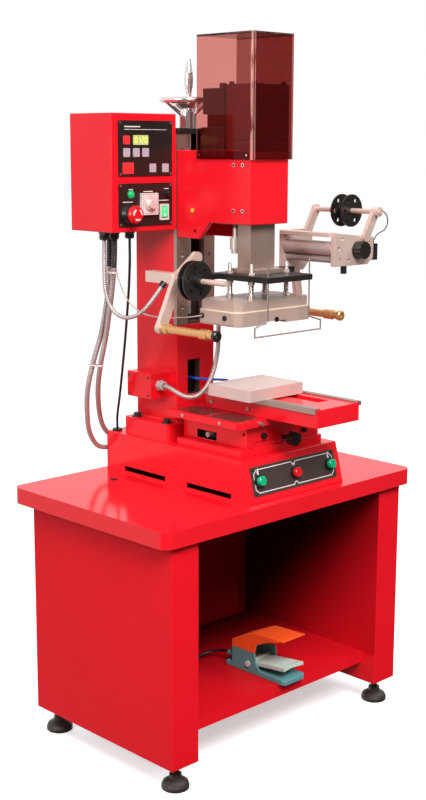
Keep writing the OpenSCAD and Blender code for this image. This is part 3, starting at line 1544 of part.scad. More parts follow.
route_base_a = concat(leave(1), [[-232, 102, 1112], [-226, 117, 1056], [-219, 137, 1000],
    [-214, 156, 942], [-214, 176, 876], [-200, 204, 812], [-168, 240, 750], [-145, 256, 709],
    [-120, 263, 683]], enter(0));
route_base_b = concat(leave(3), [[-216, 138, 1112], [-211, 149, 1056], [-207, 164, 1004],
    [-209, 180, 944], [-219, 198, 876], [-222, 217, 804], [-202, 242, 724], [-179, 257, 683],
    [-154, 263, 657]], enter(1));
route_reel = concat(leave(0), [[-263, 99, 1112], [-268, 90, 1060], [-270, 66, 1022], [-268, 34, 1006],
    [-265, 4, 1008], [-260, -22, 1020], [-252, -38, 1038]], [plug_mouth + 28 * plug_way, plug_mouth]);
route_heat = concat([jbox_mouth, jbox_mouth - [0, 16, 1.5]],
    [[-122, 15, 820], [-115, -8, 812], [-104, -28, 813], [-92, -43, 826], [-80, -53, 850],
    [-70, -60, 886], [-64, -63, 930]], [heat_mouth - [0, 0, 16], heat_mouth]);
route_black = concat(leave(2), [[-186, 101, 1114], [-178, 116, 1040], [-160, 152, 920], [-138, 196, 800],
    [-124, 222, 748], [-119, 231, 726]],
    [[black_end[0], black_end[1], z_base + sleeve_h + 12],
        [black_end[0], black_end[1], z_base + sleeve_h]]);
route_sense = concat(leave(4), [[-191, 147, 1116], [-196, 127, 1074], [-200, 92, 1032], [-202, 40, 1008],
    [-196, -20, 1003], [-182, -62, 1006], [-170, -88, 1009]], [sense_mouth - [8, 0, 0], sense_mouth]);
route_air = [[-34, 74, 838], [-32, 50, 838], [-16, 24, 836], [20, 14, 832], [60, 26, 822], [90, 56, 790],
    [100, 92, 740], [air_end[0], air_end[1], z_base + sleeve_h + 16],
        [air_end[0], air_end[1], z_base + sleeve_h]];
route_pedal = concat([pedal_plug, pedal_plug + [0, 16, -1]],
    [[6, 8, 156], [-14, 26, 149], [-44, 29, 142], [-80, 20, 139.5], [-160, -10, 139.5],
    [-240, 20, 139.5], [-268, 90, 139.5], [-264, 150, 152], [-246, 176, 220], [-215, 160, 360],
    [-200, 150, 480],
    [pedal_gland[0], pedal_gland[1], z_table - sheet - sleeve_h - 20],
    [pedal_gland[0], pedal_gland[1], z_table - sheet - sleeve_h]]);

wire_y = feed_y1 - arm_t - reel_out - 5;
wire_out = [reel_at[0] + shaft_r + 5 + gap, wire_y, reel_at[1]];
wire_in = [block_at[0] + 9, feed_y1 - arm_t / 2, block_at[1] + 2 * gap];
route_wire = concat([wire_out, wire_out + [8, 0, 0]],
    [[296, -254, 1221], [303, -252, 1205], [299, -247, 1188], [285, -238, 1178]],
    [wire_in + [0, 0, 8], wire_in]);

module base_conduits() {
    color("darkgray") place() {
        hose(route_base_a, base_hose_r, base_hose_r - rib_d - 1.4, 36, [0, 1, 0]);
        hose(route_base_b, base_hose_r, base_hose_r - rib_d - 1.4, 36, [0, 1, 0]);
    }
}

module reel_conduit() {
    color("darkgray") place() hose(route_reel, reel_hose_r, reel_hose_r - rib_d - 0.8, 44, [-1, -0.3, 0]);
}

module heater_conduit() {
    color("darkgray") place() hose(route_heat, heat_hose_r, heat_hose_r - rib_d - 0.9, 40, [1, 0.9, 0]);
}

module black_cord() { color("black") place() cord(route_black, cord_r, 8, 2, [1, 0, 0]); }
module sensor_wire() { color("silver") place() cord(route_sense, wire_sense_r, 8, 2, [-0.5, 0.5, 1]); }
module air_tube() { color("blue") place() cord(route_air, air_r, 8, 2, [0.2, 1, 0.5]); }
module reel_wire() { color("black") place() cord(route_wire, reel_wire_r, 8, 2, [0.3, -1, 0.3]); }
module pedal_cord() { color("black") place() cord(route_pedal, pedal_cord_r, 8, 2, [-0.6, 0.2, 1]); }

// which piece to draw, or "all"

table_top();
cabinet();
foot_pads();
foot_stems();
base_housing();
front_panels();
button_collars();
start_left();
start_right();
stop_button();
column();
column_ways();
column_cap();
frame_screws();
junction_box();
control_box();
display_keys();
white_bezels();
temp_dial();
rocker();
estop();
glands();
handwheel();
wheel_grip();
head_housing();
head_screws();
smoked_cover();
air_cylinder();
air_valve();
ram();
tool_plate();
posts();
heater();
bail();
foil_frames();
unwind_spool();
left_roller();
right_roller();
feed_roller();
pinch_roller();
rewind_reel();
tension_knob();
xy_base();
saddle();
saddle_knob();
cross_plate();
work_slide();
slide_rails();
fixture_block();
pedal_base();
pedal_guard();
treadle();
base_conduits();
reel_conduit();
heater_conduit();
black_cord();
sensor_wire();
air_tube();
pedal_cord();
reel_wire();
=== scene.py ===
"""Hot foil stamping press on its cabinet stand: studio, finishes, cords and fine pieces round its frame."""
import json
import math

import bmesh
import bpy
from mathutils import Matrix, Vector


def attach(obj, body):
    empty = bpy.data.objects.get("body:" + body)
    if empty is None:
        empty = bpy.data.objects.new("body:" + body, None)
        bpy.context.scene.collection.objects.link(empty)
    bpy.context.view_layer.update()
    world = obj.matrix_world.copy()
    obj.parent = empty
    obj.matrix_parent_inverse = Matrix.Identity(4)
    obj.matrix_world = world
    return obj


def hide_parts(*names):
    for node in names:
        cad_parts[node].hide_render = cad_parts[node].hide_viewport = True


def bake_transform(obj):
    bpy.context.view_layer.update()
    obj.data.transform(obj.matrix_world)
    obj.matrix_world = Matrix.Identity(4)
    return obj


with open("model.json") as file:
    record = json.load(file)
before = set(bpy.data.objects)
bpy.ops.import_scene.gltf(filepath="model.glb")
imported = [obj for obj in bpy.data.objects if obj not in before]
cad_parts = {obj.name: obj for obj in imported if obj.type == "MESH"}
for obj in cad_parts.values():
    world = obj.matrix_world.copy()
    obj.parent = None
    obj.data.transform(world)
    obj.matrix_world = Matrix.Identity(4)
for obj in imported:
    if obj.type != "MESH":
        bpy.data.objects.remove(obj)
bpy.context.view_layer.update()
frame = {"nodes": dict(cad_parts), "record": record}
nodes = frame["nodes"]


# Studio: a white room behind and beside the press, which metal, glass and gloss paint mirror, and a darker
# front. Four soft lamps stand round the press, and the camera stands where the photographer did.
# A Val is one number in a node tree, and Python's operators on it add Math nodes; Nodes adds any other node.
class Val:
    def __init__(self, tree, socket):
        self.tree = tree
        self.socket = socket

    def math(self, operation, *others):
        made = self.tree.node("Math", {"operation": operation}, dict(enumerate((self,) + others)))
        return Val(self.tree, made.outputs[0])

    def __add__(self, other):
        return self.math("ADD", other)

    def __sub__(self, other):
        return self.math("SUBTRACT", other)

    def __rsub__(self, other):
        return self * -1 + other

    def __mul__(self, other):
        return self.math("MULTIPLY", other)

    def __abs__(self):
        return self.math("ABSOLUTE")

    __radd__ = __add__
    __rmul__ = __mul__

    def wave(self, period):
        return (self * (2 * math.pi / period)).math("SINE")

    def most(self, other):
        return self.math("MAXIMUM", other)

    def step(self, low, high):
        """0 at low and 1 at high, eased; low may be the larger."""
        made = self.tree.node("MapRange", {"interpolation_type": "SMOOTHSTEP"},
                              {"Value": self, "From Min": low, "From Max": high})
        return Val(self.tree, made.outputs["Result"])

    def under(self, limit, soft=0.2):
        return self.step(limit + soft, limit - soft)

    def over(self, limit, soft=0.2):
        return self.step(limit - soft, limit + soft)

    def between(self, low, high, soft=0.2):
        return self.over(low, soft) * self.under(high, soft)


class Nodes:
    def __init__(self, tree):
        self.tree = tree

    def node(self, kind, settings=None, sockets=None):
        """One shader node: its settings first, then the values or links of its sockets."""
        made = self.tree.nodes.new("ShaderNode" + kind)
        for key, value in (settings or {}).items():
            setattr(made, key, value)
        for key, item in (sockets or {}).items():
            self.feed(made.inputs[key], item)
        return made

    def feed(self, slot, item):
        """A link, a colour or a number into one socket."""
        if isinstance(item, Val):
            item = item.socket
        if isinstance(item, bpy.types.NodeSocket):
            self.tree.links.new(item, slot)
        elif slot.type == "RGBA":
            slot.default_value = (*item, 1)
        else:
            slot.default_value = item


world = bpy.data.worlds.new("studio")
bpy.context.scene.world = world
world.use_nodes = True
sky = Nodes(world.node_tree)
toward = sky.node("SeparateXYZ", None, {0: sky.node("TexCoord").outputs["Generated"]})
rise, back = Val(sky, toward.outputs["Z"]), Val(sky, toward.outputs["Y"])
rays = sky.node("LightPath").outputs
seen_straight = Val(sky, rays["Is Camera Ray"]).most(Val(sky, rays["Is Transmission Ray"]))
mirrored = Val(sky, rays["Is Glossy Ray"]) * back.step(-0.1, 0.4) * 0.9
white_wall = world.node_tree.nodes["Background"]
white_wall.inputs["Color"].default_value = (1, 1, 1, 1)
overhead = rise.step(-0.1, 0.9) * 0.68 + 0.12
dome = sky.node("Background", None, {"Color": (1.0, 0.97, 0.95), "Strength": overhead})
room = sky.node("MixShader", None, {
    0: seen_straight.most(mirrored), 1: dome.outputs[0], 2: white_wall.outputs[0]})
sky.feed(world.node_tree.nodes["World Output"].inputs["Surface"], room.outputs[0])
bpy.context.scene.view_settings.view_transform = "Standard"

HEADING = math.radians(-44.22)
TILT = math.radians(90 - 11.05)
ROLL = math.radians(0.19)
lens = bpy.data.cameras.new("camera")
lens.sensor_fit = "VERTICAL"
lens.sensor_height = 36.0
lens.lens = 59.553
lens.clip_start = 0.1
lens.clip_end = 60.0
camera = bpy.data.objects.new("camera", lens)
camera.location = (-2.15565, -2.15068, 1.38813)
turn = Matrix.Rotation(HEADING, 3, "Z") @ Matrix.Rotation(TILT, 3, "X")
camera.rotation_euler = (turn @ Matrix.Rotation(ROLL, 3, "Z")).to_euler()
bpy.context.collection.objects.link(camera)
bpy.context.scene.camera = camera

for name, spot, aim, width, power in (
    ("key", (-1.5, -2.6, 3.3), (0, 0, 0.85), 1.7, 178.0),
    ("left_fill", (-3.3, -0.3, 1.9), (0, 0, 1.0), 1.3, 44.0),
    ("right_fill", (2.4, -2.4, 3.7), (0, 0, 0.9), 1.4, 46.0),
    ("back_rim", (0.9, 2.9, 2.9), (0, 0, 1.0), 1.4, 40.0),
):
    lamp = bpy.data.lights.new(name, "AREA")
    lamp.size = width
    lamp.energy = power
    holder = bpy.data.objects.new(name, lamp)
    holder.location = spot
    holder.rotation_euler = (Vector(aim) - Vector(spot)).to_track_quat("-Z", "Y").to_euler()
    holder.visible_glossy = name != "back_rim"
    bpy.context.collection.objects.link(holder)

# Floor: one wide sheet of pale paper that keeps the stand's shadow.
# A Skin is one Principled material with patterns in millimetres, in the source's own coordinates.
# Y_MID is how far the source's origin lies behind the frame's.
Y_MID = 46.0
MM = 1000.0


class Skin(Nodes):
    def __init__(self, name, base, **fixed):
        self.mat = bpy.data.materials.new(name)
        self.mat.use_nodes = True
        super().__init__(self.mat.node_tree)
        self.shader = self.tree.nodes["Principled BSDF"]
        self.drive("Base Color", base)
        for key, value in fixed.items():
            self.drive(key.replace("_", " ").title().replace("Ior", "IOR"), value)
        self.place = self.node("VectorMath", {"operation": "MULTIPLY_ADD"}, {
            0: self.node("TexCoord").outputs["Object"], 1: (MM, MM, MM), 2: (0, -Y_MID, 0)}).outputs[0]
        split = self.node("SeparateXYZ", None, {0: self.place})
        self.x, self.y, self.z = (Val(self, socket) for socket in split.outputs)

    def drive(self, label, item):
        self.feed(self.shader.inputs[label], item)

    def noise(self, size, detail=2.0, along=(1, 1, 1)):
        """Noise of about that feature size in millimetres, stretched by `along`."""
        scaled = self.node("VectorMath", {"operation": "MULTIPLY"},
                           {0: self.place, 1: tuple(1 / (size * a) for a in along)})
        made = self.node("TexNoise", None, {"Vector": scaled.outputs[0], "Scale": 1.0, "Detail": detail})
        return Val(self, made.outputs[0])

    def mix(self, factor, a, b):
        return self.node("Mix", {"data_type": "RGBA"}, {0: factor, 6: a, 7: b}).outputs[2]

    def blend(self, factor, a, b):
        """Mix of two numbers."""
        return Val(self, self.node("Mix", None, {0: factor, 2: a, 3: b}).outputs[0])

    def bump(self, height):
        """Surface relief, with the height in millimetres."""
        made = self.node("Bump", None, {"Distance": 1 / MM, "Height": height})
        self.drive("Normal", made.outputs["Normal"])


bpy.ops.object.select_all(action="DESELECT")
bpy.ops.mesh.primitive_plane_add(size=18.0)
floor = bpy.context.object
floor.name = "floor"
paper = Skin("floor_paper", (0.84, 0.84, 0.84), roughness=0.9, specular_ior_level=0.1,
             emission_color=(1, 1, 1), emission_strength=0.5)
paper.drive("Base Color", paper.mix(paper.noise(900, 1.0), (0.83, 0.83, 0.83), (0.85, 0.85, 0.85)))
floor.data.materials.append(paper.mat)
floor.visible_diffuse = False
floor.visible_glossy = False

# Table top and cabinet: folded sheet steel in gloss red enamel, with rounded folds.
# The knee space has painted shade: its coat darkens towards the back and the top, and the back panel takes a
# lighter painted shade.
RED = (0.78, 0.0085, 0.0175)
GLOSS = 0.32
KNEE_HALF = 302.5
KNEE_FRONT = -251.0
KNEE_DEPTH = 420.0
KNEE_HEIGHT = 540.0
SHELF_TOP = 135.0
BACK_PANEL = 200.0
CABINET_BACK = 225.0
body_of = {node: body for body, group in frame["record"]["behaviour"]["bodies"].items() for node in group}


def shade(colour, factor):
    return tuple(c * factor for c in colour)


def painted(name, base, peel, grain, rough, **fixed):
    """Paint: slow tone drift, orange peel of that height and grain, and faint handling marks in the gloss."""
    skin = Skin(name, base, **fixed)
    skin.tint = skin.mix(skin.noise(240, 2.0), shade(base, 0.94), shade(base, 1.05))
    skin.drive("Base Color", skin.tint)
    skin.drive("Roughness", skin.noise(60, 4.0) * 0.08 + (rough - 0.04))
    skin.bump(skin.noise(grain, 3.0) * peel)
    return skin


def pick(piece):
    """The one object that the next operator acts on."""
    bpy.ops.object.select_all(action="DESELECT")
    bpy.context.view_layer.objects.active = piece
    piece.select_set(True)


def settle(piece, angle=32.0):
    """Smooth faces with crisp edges, and normals that follow the large faces."""
    shape = bmesh.new()
    shape.from_mesh(piece.data)
    for face in shape.faces:
        face.smooth = True
    for edge in shape.edges:
        edge.smooth = len(edge.link_faces) == 2 and edge.calc_face_angle(math.pi) < math.radians(angle)
    shape.to_mesh(piece.data)
    shape.free()
    pick(piece)
    weighted = piece.modifiers.new("weighted", "WEIGHTED_NORMAL")
    weighted.keep_sharp = True
    bpy.ops.object.modifier_apply(modifier=weighted.name)


MERGE = 2e-6
FLAT = math.radians(0.4)
SHARP = math.radians(28)
LONG_EDGE = 5.0
ROOM_BESIDE = 2.2


def roundable(edge, width):
    """Whether an edge is sharp, long for that radius, and has room at both ends."""
    if len(edge.link_faces) != 2 or edge.calc_length() < LONG_EDGE * width:
        return False
    if edge.calc_face_angle(0.0) < SHARP:
        return False
    beside = [e for v in edge.verts for e in v.link_edges if e is not edge]
    return min(e.calc_length() for e in beside) > ROOM_BESIDE * width


def eased(name, skin, width):
    """A copy of a node with its long edges rounded, which stands for the node."""
    piece = bpy.data.objects.new(name + "_eased", nodes[name].data.copy())
    bpy.context.collection.objects.link(piece)
    piece.data.materials.clear()
    piece.data.materials.append(skin.mat)
    if piece.data.has_custom_normals:
        pick(piece)
        bpy.ops.mesh.customdata_custom_splitnormals_clear()
    width /= MM
    shape = bmesh.new()
    shape.from_mesh(piece.data)
    bmesh.ops.remove_doubles(shape, verts=shape.verts, dist=MERGE)
    bmesh.ops.dissolve_limit(shape, angle_limit=FLAT, verts=shape.verts, edges=shape.edges)
    chosen = [edge for edge in shape.edges if roundable(edge, width)]
    bmesh.ops.bevel(shape, geom=chosen, offset=width, segments=3, profile=0.5, affect="EDGES",
                    clamp_overlap=False)
    bmesh.ops.recalc_face_normals(shape, faces=shape.faces)
    shape.to_mesh(piece.data)
    shape.free()
    settle(piece)
    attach(piece, body_of[name])
    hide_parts(name)


def dress(skin, *names, edge=0.0):
    """Puts a finish on nodes; with an edge radius in millimetres, an eased copy stands for each."""
    for name in names:
        for holder in nodes[name].material_slots:
            holder.material = skin.mat
        if edge:
            eased(name, skin, edge)


enamel = painted("red_enamel", RED, peel=0.008, grain=2.6, rough=0.13, specular_ior_level=GLOSS)
dress(enamel, "table_top", edge=4.0)
cabinet = painted("cabinet_enamel", RED, peel=0.008, grain=2.6, rough=0.15, specular_ior_level=0.06)
# Painted shade inside the knee space, deeper with depth and height; the same mask also roughens the coat
# there.
depth = (cabinet.y - KNEE_FRONT) * (1 / KNEE_DEPTH) + (cabinet.z - SHELF_TOP) * (1 / KNEE_HEIGHT)
in_knee = abs(cabinet.x).under(KNEE_HALF) * cabinet.z.over(SHELF_TOP - 1) * cabinet.y.under(CABINET_BACK)
knee_shade = (depth.step(0.25, 1.15) * 0.8 + 0.2) * in_knee
unlit = cabinet.mix(cabinet.y.over(BACK_PANEL, 4), shade(RED, 0.04), shade(RED, 0.3))
cabinet.drive("Base Color", cabinet.mix(knee_shade, cabinet.tint, unlit))
cabinet.drive("Roughness", cabinet.blend(knee_shade, 0.15, 0.6))
dress(cabinet, "cabinet", edge=2.0)

# Levelling feet: black rubber bells moulded on screwed steel stems.
# Each stem is blacked and stands in the pedestal's foot with a lock nut.
rubber = painted("rubber", (0.03, 0.021, 0.018), peel=0.06, grain=1.2, rough=0.45)
stem = painted("stem_black", (0.016, 0.012, 0.011), peel=0.05, grain=1.4, rough=0.42)
dress(rubber, "foot_pads")
dress(stem, "foot_stems")

# Foot pedal: cast base in teal hammer paint under a guard of bent sheet in orange.
# The treadle between its cheeks is pale painted metal with a worn cross tread.
TREAD_PITCH = 7.0
teal = painted("teal_paint", (0.1, 0.27, 0.28), peel=0.1, grain=2.6, rough=0.4)
orange = painted("orange_paint", (1.0, 0.1, 0.018), peel=0.06, grain=2.6, rough=0.36)
tread = Skin("pale_paint", (0.5, 0.6, 0.54), roughness=0.4)
pattern = (tread.x + tread.y).wave(TREAD_PITCH) * (tread.x - tread.y).wave(TREAD_PITCH)
tread.drive("Base Color", tread.mix(tread.noise(40, 3.0), (0.44, 0.54, 0.48), (0.56, 0.65, 0.59)))
tread.bump(pattern * 0.2 + tread.noise(3.0) * 0.06)
dress(teal, "pedal_base", edge=2.0)
dress(orange, "pedal_guard", edge=1.2)
dress(tread, "treadle", edge=1.2)


# Pedal lead: black rubber cable from the pedal over the shelf and up the back to the table's gland.
# A cord's route repeats the source's points, in millimetres, and the curve through them is the same one.
def pt(x, y, z):
    return Vector((x, y + Y_MID, z)) / MM


def smooth(route, per=14):
    """The source's curve through a route, with that many points to a stretch."""
    ends = [Vector(route[0])] + [Vector(p) for p in route] + [Vector(route[-1])]
    line = []
    for a, b, c, d in zip(ends, ends[1:], ends[2:], ends[3:]):
        for k in range(per):
            t = k / per
            line.append(0.5 * (2 * b + (c - a) * t + (2 * a - 5 * b + 4 * c - d) * t * t
                               + (3 * b - a - 3 * c + d) * t ** 3))
    return line + [ends[-1]]


def spread(line, step):
    """Points at even steps along a line, both ends kept."""
    lengths = [0.0]
    for a, b in zip(line, line[1:]):
        lengths.append(lengths[-1] + (b - a).length)
    count = max(2, round(lengths[-1] / step))
    points = []
    at = 0
    for k in range(count + 1):
        goal = lengths[-1] * k / count
        while at < len(line) - 2 and lengths[at + 1] < goal:
            at += 1
        share = (goal - lengths[at]) / max(1e-9, lengths[at + 1] - lengths[at])
        points.append(line[at].lerp(line[at + 1], min(1.0, share)))
    return points


def tube(name, points, radii, sides):
    """A closed tube along points in metres, with no twist."""
    shape = bmesh.new()
    rings = []
    side = None
    for k, point in enumerate(points):
        way = (points[min(k + 1, len(points) - 1)] - points[max(k - 1, 0)]).normalized()
        if side is None:
            side = way.orthogonal().normalized()
        side = (side - way * side.dot(way)).normalized()
        other = way.cross(side)
        rings.append([
            shape.verts.new(point + radii[k] * (math.cos(a) * side + math.sin(a) * other))
            for a in (2 * math.pi * i / sides for i in range(sides))
        ])
    for low, high in zip(rings, rings[1:]):
        for i in range(sides):
            shape.faces.new((low[i], low[(i + 1) % sides], high[(i + 1) % sides], high[i])).smooth = True
    shape.faces.new(rings[0][::-1])
    shape.faces.new(rings[-1])
    mesh = bpy.data.meshes.new(name)
    shape.to_mesh(mesh)
    shape.free()
    piece = bpy.data.objects.new(name, mesh)
    bpy.context.collection.objects.link(piece)
    return piece


RIB_STEPS = 6
RIB_DEPTH = 1.1
RIB_ROUND = 0.6


def rib_radius(radius, k):
    """Radius of a ribbed hose at its k-th step; each rib is round and the groove beside it is narrow."""
    return (radius - RIB_DEPTH * (1 - abs(math.sin(math.pi * k / RIB_STEPS)) ** RIB_ROUND)) / MM


def lay_cord(name, route, radius, skin, ribs=None, cut=None):
    """One cord, or two pieces of it where it crosses joints; `cut` says which points belong to the first."""
    step = ribs / RIB_STEPS if ribs else max(1.5, radius)
    line = [pt(*p) for p in spread(smooth(route), step)]
    radii = [rib_radius(radius, k) if ribs else radius / MM for k in range(len(line))]
    sides = 18 if ribs else 12
    spans = [(0, len(line))]
    if cut:
        first = max(k for k, p in enumerate(line) if cut(p * MM - Vector((0, Y_MID, 0))))
        first += -first % RIB_STEPS if ribs else 0
        spans = [(0, first + 1), (first, len(line))]
    laid = []
    for number, (start, stop) in enumerate(spans):
        title = name if len(spans) == 1 else f"{name}_{number + 1}"
        piece = tube(title, line[start:stop], radii[start:stop], sides)
        piece.data.materials.append(skin.mat)
        length = sum((b - a).length for a, b in zip(line[start:stop], line[start + 1:stop]))
        laid.append(piece)
    return laid


cable = painted("black_cable", (0.008, 0.006, 0.006), peel=0.03, grain=1.6, rough=0.42)
dress(cable, "pedal_cord")
pedal_lead, = lay_cord("pedal_lead", [
    (11, -29, 161), (11, -13, 160), (6, 8, 156), (-14, 26, 149), (-44, 29, 142), (-80, 20, 139.5),
    (-160, -10, 139.5), (-240, 20, 139.5), (-268, 90, 139.5), (-264, 150, 152), (-246, 176, 220),
    (-215, 160, 360), (-200, 150, 480), (-200, 150, 572.5), (-200, 150, 592.5)],
    radius=3.5, skin=cable)
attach(pedal_lead, "stand")
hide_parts("pedal_cord")

# Machine base: welded red housing with a sloping front and side vents.
# It is painted with the table's enamel and bolted to the table top.
dress(enamel, "base_housing", edge=3.0)


# Black panels: printed plate on the base's slope and two on the control box, screwed at the corners.
# The slope's plate has a white border with cut corners and notches, and plain signs over the buttons.
# The box's plates have rules in place of captions.
def far(a, b):
    """Length of the vector with these two parts."""
    return (a * a + b * b).math("SQRT")


def patch(skin, left, right, low, high):
    """1 in an upright rectangle of x and z."""
    return skin.x.between(left, right) * skin.z.between(low, high)


BLACK = (0.013, 0.0095, 0.0085)
INK = (0.72, 0.66, 0.64)
DIAGONAL = 0.7071
PLATE_X = 23.0
PLATE_Y = -224.5
PLATE_Z = 647.5
PLATE_LEAN = math.atan(25 / 95)
PLATE_TOP = 710.0
BORDER_X = 131.0
BORDER_Z = 26.0
BORDER_CUT = 148.0
BORDER_LINE = 1.1
NOTCH = 6.0
START_X = 118.0
SIGN_Z = 19.5
CAPTION_RULES = (
    (-246, -122, 1413.2, 1414.2), (-246, -200, 1418.6, 1421), (-236, -222, 1283, 1284.6),
    (-192, -164, 1277.6, 1279.4), (-130, -116, 1283, 1284.6), (-146, -116, 1257, 1258.8),
    (-252, -222, 1255.5, 1257.2),
)
face = painted("panel_face", BLACK, peel=0.02, grain=1.4, rough=0.36)
across = face.x - PLATE_X
slope = (face.y - PLATE_Y) * math.sin(PLATE_LEAN) + (face.z - PLATE_Z) * math.cos(PLATE_LEAN)
rim = (abs(across) - BORDER_X).most(abs(slope) - BORDER_Z)
rim = rim.most((abs(across) + abs(slope) - BORDER_CUT) * DIAGONAL)
rim = rim.most(NOTCH - far(across, abs(slope) - BORDER_Z))
ink = rim.between(-BORDER_LINE, BORDER_LINE)
for middle in (-START_X, START_X):
    u, v = across - middle, slope - SIGN_Z
    triangle = (u * -0.866 + abs(v) * 0.5 - 2.4).most(u - 2.6).under(0.6) * (u + 4).over(0)
    ink = ink + triangle
square = abs(across).most(abs(slope - SIGN_Z)).between(1.7, 3.2)
on_slope = face.z.under(PLATE_TOP)
ink = (ink + square) * on_slope
for rule in CAPTION_RULES:
    ink = ink + patch(face, *rule)
plate_black = face.mix(on_slope, face.tint, (0.05, 0.036, 0.03))
face.drive("Base Color", face.mix(ink, plate_black, INK))
dress(face, "front_panels", edge=0.6)

# Push buttons: green and red domed caps of moulded plastic in black collars, set through the panels.
# The same black mouldings hold the green lamp and the dial's seat.
moulded = painted("black_plastic", (0.011, 0.0085, 0.0075), peel=0.04, grain=0.9, rough=0.34)
green = painted("green_plastic", (0.0, 0.4, 0.18), peel=0.012, grain=1.5, rough=0.2)
scarlet = painted("red_plastic", (0.68, 0.006, 0.012), peel=0.012, grain=1.5, rough=0.2)
dress(moulded, "button_collars")
dress(green, "start_left", "start_right")
dress(scarlet, "stop_button")

# Column: red casting bolted to the base, with painted shade inside the way channel and the window, and a
# black cap.
# Its two ways are ground steel with an oiled, streaky grain.
COLUMN_X = -29.5
CHANNEL_HALF = 57.0
CHANNEL_FRONT = 48.5
CHANNEL_BACK = 186.0
casting = painted("red_casting", RED, peel=0.05, grain=5.0, rough=0.22, specular_ior_level=GLOSS)
column = painted("column_paint", RED, peel=0.05, grain=5.0, rough=0.22, specular_ior_level=GLOSS)
# Painted shade: the inside of the way channel and the window is coloured dark.
inside = abs(column.x - COLUMN_X).under(CHANNEL_HALF) * column.y.between(CHANNEL_FRONT, CHANNEL_BACK)
column.drive("Base Color", column.mix(inside, column.tint, (0.1, 0.06, 0.048)))
black_metal = painted("black_metal", (0.012, 0.009, 0.008), peel=0.03, grain=1.4, rough=0.38)


def bare(name, base, rough, grain, height, **fixed):
    """Bare metal: brushed or milled grain along one direction, cloudy roughness and a slight tone change."""
    skin = Skin(name, base, **{"metallic": 1.0, **fixed})
    lines = skin.noise(0.8, 2.0, grain)
    cloud = skin.noise(45, 3.0)
    skin.tint = skin.mix(cloud, shade(base, 0.86), shade(base, 1.06))
    skin.drive("Base Color", skin.tint)
    skin.drive("Roughness", lines * 0.14 + cloud * 0.1 + (rough - 0.12))
    skin.relief = lines * height
    skin.bump(skin.relief)
    return skin


ways = bare("way_steel", (0.46, 0.33, 0.28), rough=0.3, grain=(1, 1, 30), height=0.008, metallic=0.85)
dress(column, "column", edge=3.0)
dress(ways, "column_ways")
dress(black_metal, "column_cap", edge=1.5)

# Screws of the frame: steel, bright in the panels, which are all above the others.
# Those in the junction box and the column's foot are blacked, with dusty heads.
PANEL_SCREWS = 1000.0
fixing = Skin("frame_screw", (0.02, 0.018, 0.017), roughness=0.38)
bright = fixing.z.over(PANEL_SCREWS, 1)
dust = fixing.noise(6, 3.0)
worn = fixing.mix(dust, (0.012, 0.01, 0.009), (0.04, 0.033, 0.03))
fixing.drive("Base Color", fixing.mix(bright, worn, (0.5, 0.43, 0.4)))
fixing.drive("Metallic", bright)
fixing.bump(dust * 0.03)
dress(fixing, "frame_screws")

# Junction box and control box: red sheet boxes on the column's left side, with black cable glands.
# The junction box's gland has a pale nylon nut.
NUT_X = -124.0
NUT_Z = 829.0
NUT_BACK = 75.0
NUT_BORE = 6.6
NUT_REACH = 24.0
dress(enamel, "junction_box", edge=2.0)
dress(enamel, "control_box", edge=3.0)
gland = painted("gland_plastic", (0.011, 0.0085, 0.0075), peel=0.04, grain=0.9, rough=0.34)
nut = far(gland.x - NUT_X, gland.z - NUT_Z).over(NUT_BORE) * gland.y.under(NUT_BACK)
nut = nut * gland.z.between(NUT_Z - NUT_REACH, NUT_Z + NUT_REACH)
gland.drive("Base Color", gland.mix(nut, gland.tint, (0.5, 0.42, 0.4)))
dress(gland, "glands")

# Panel keys: red and pale moulded caps by their place on the panel, with fine printed bars.
# The display's window and the green lamp are lit from behind.
RED_KEYS = ((-254, -220, 1314, 1345), (-252, -228, 1379, 1403))
WINDOW = (-222, -176, 1379, 1403)
LAMP_LOW = 1260.0
LAMP_HIGH = 1286.0
keys = Skin("key_plastic", (0.45, 0.36, 0.4), roughness=0.34, emission_strength=1.0)
large, small = (patch(keys, *key) for key in RED_KEYS)
bars = keys.x.wave(5.0).over(0.75) * 0.4
cap = keys.mix(large + small, keys.mix(bars, (0.46, 0.36, 0.4), (0.3, 0.22, 0.27)), (0.72, 0.03, 0.035))
lamp_spot = keys.z.between(LAMP_LOW, LAMP_HIGH)
screen = patch(keys, *WINDOW)
cap = keys.mix(lamp_spot, cap, (0.0, 0.34, 0.1))
keys.drive("Base Color", keys.mix(screen, cap, (0.33, 0.36, 0.16)))
glow = keys.mix(screen, (0, 0, 0), (0.22, 0.25, 0.04))
keys.drive("Emission Color", keys.mix(lamp_spot, glow, (0.0, 0.12, 0.03)))
keys.bump(keys.noise(0.8) * 0.02)
dress(keys, "display_keys")


# Display digits: thin lit bars with pointed ends on the window, four figures of up to seven bars.
# One bar is cut from a six-sided blank, and its copies are joined.
def keep(piece, skin, body):
    """Shading, finish and body of a piece made here."""
    settle(piece, 40.0)
    piece.data.materials.clear()
    piece.data.materials.append(skin.mat)
    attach(piece, body)


def grab(piece, part, test):
    """In edit mode, selects the faces or edges that pass the test."""
    bpy.ops.mesh.select_all(action="DESELECT")
    bpy.ops.mesh.select_mode(type=part)
    shape = bmesh.from_edit_mesh(piece.data)
    for item in shape.faces if part == "FACE" else shape.edges:
        item.select_set(test(item))
    bmesh.update_edit_mesh(piece.data)


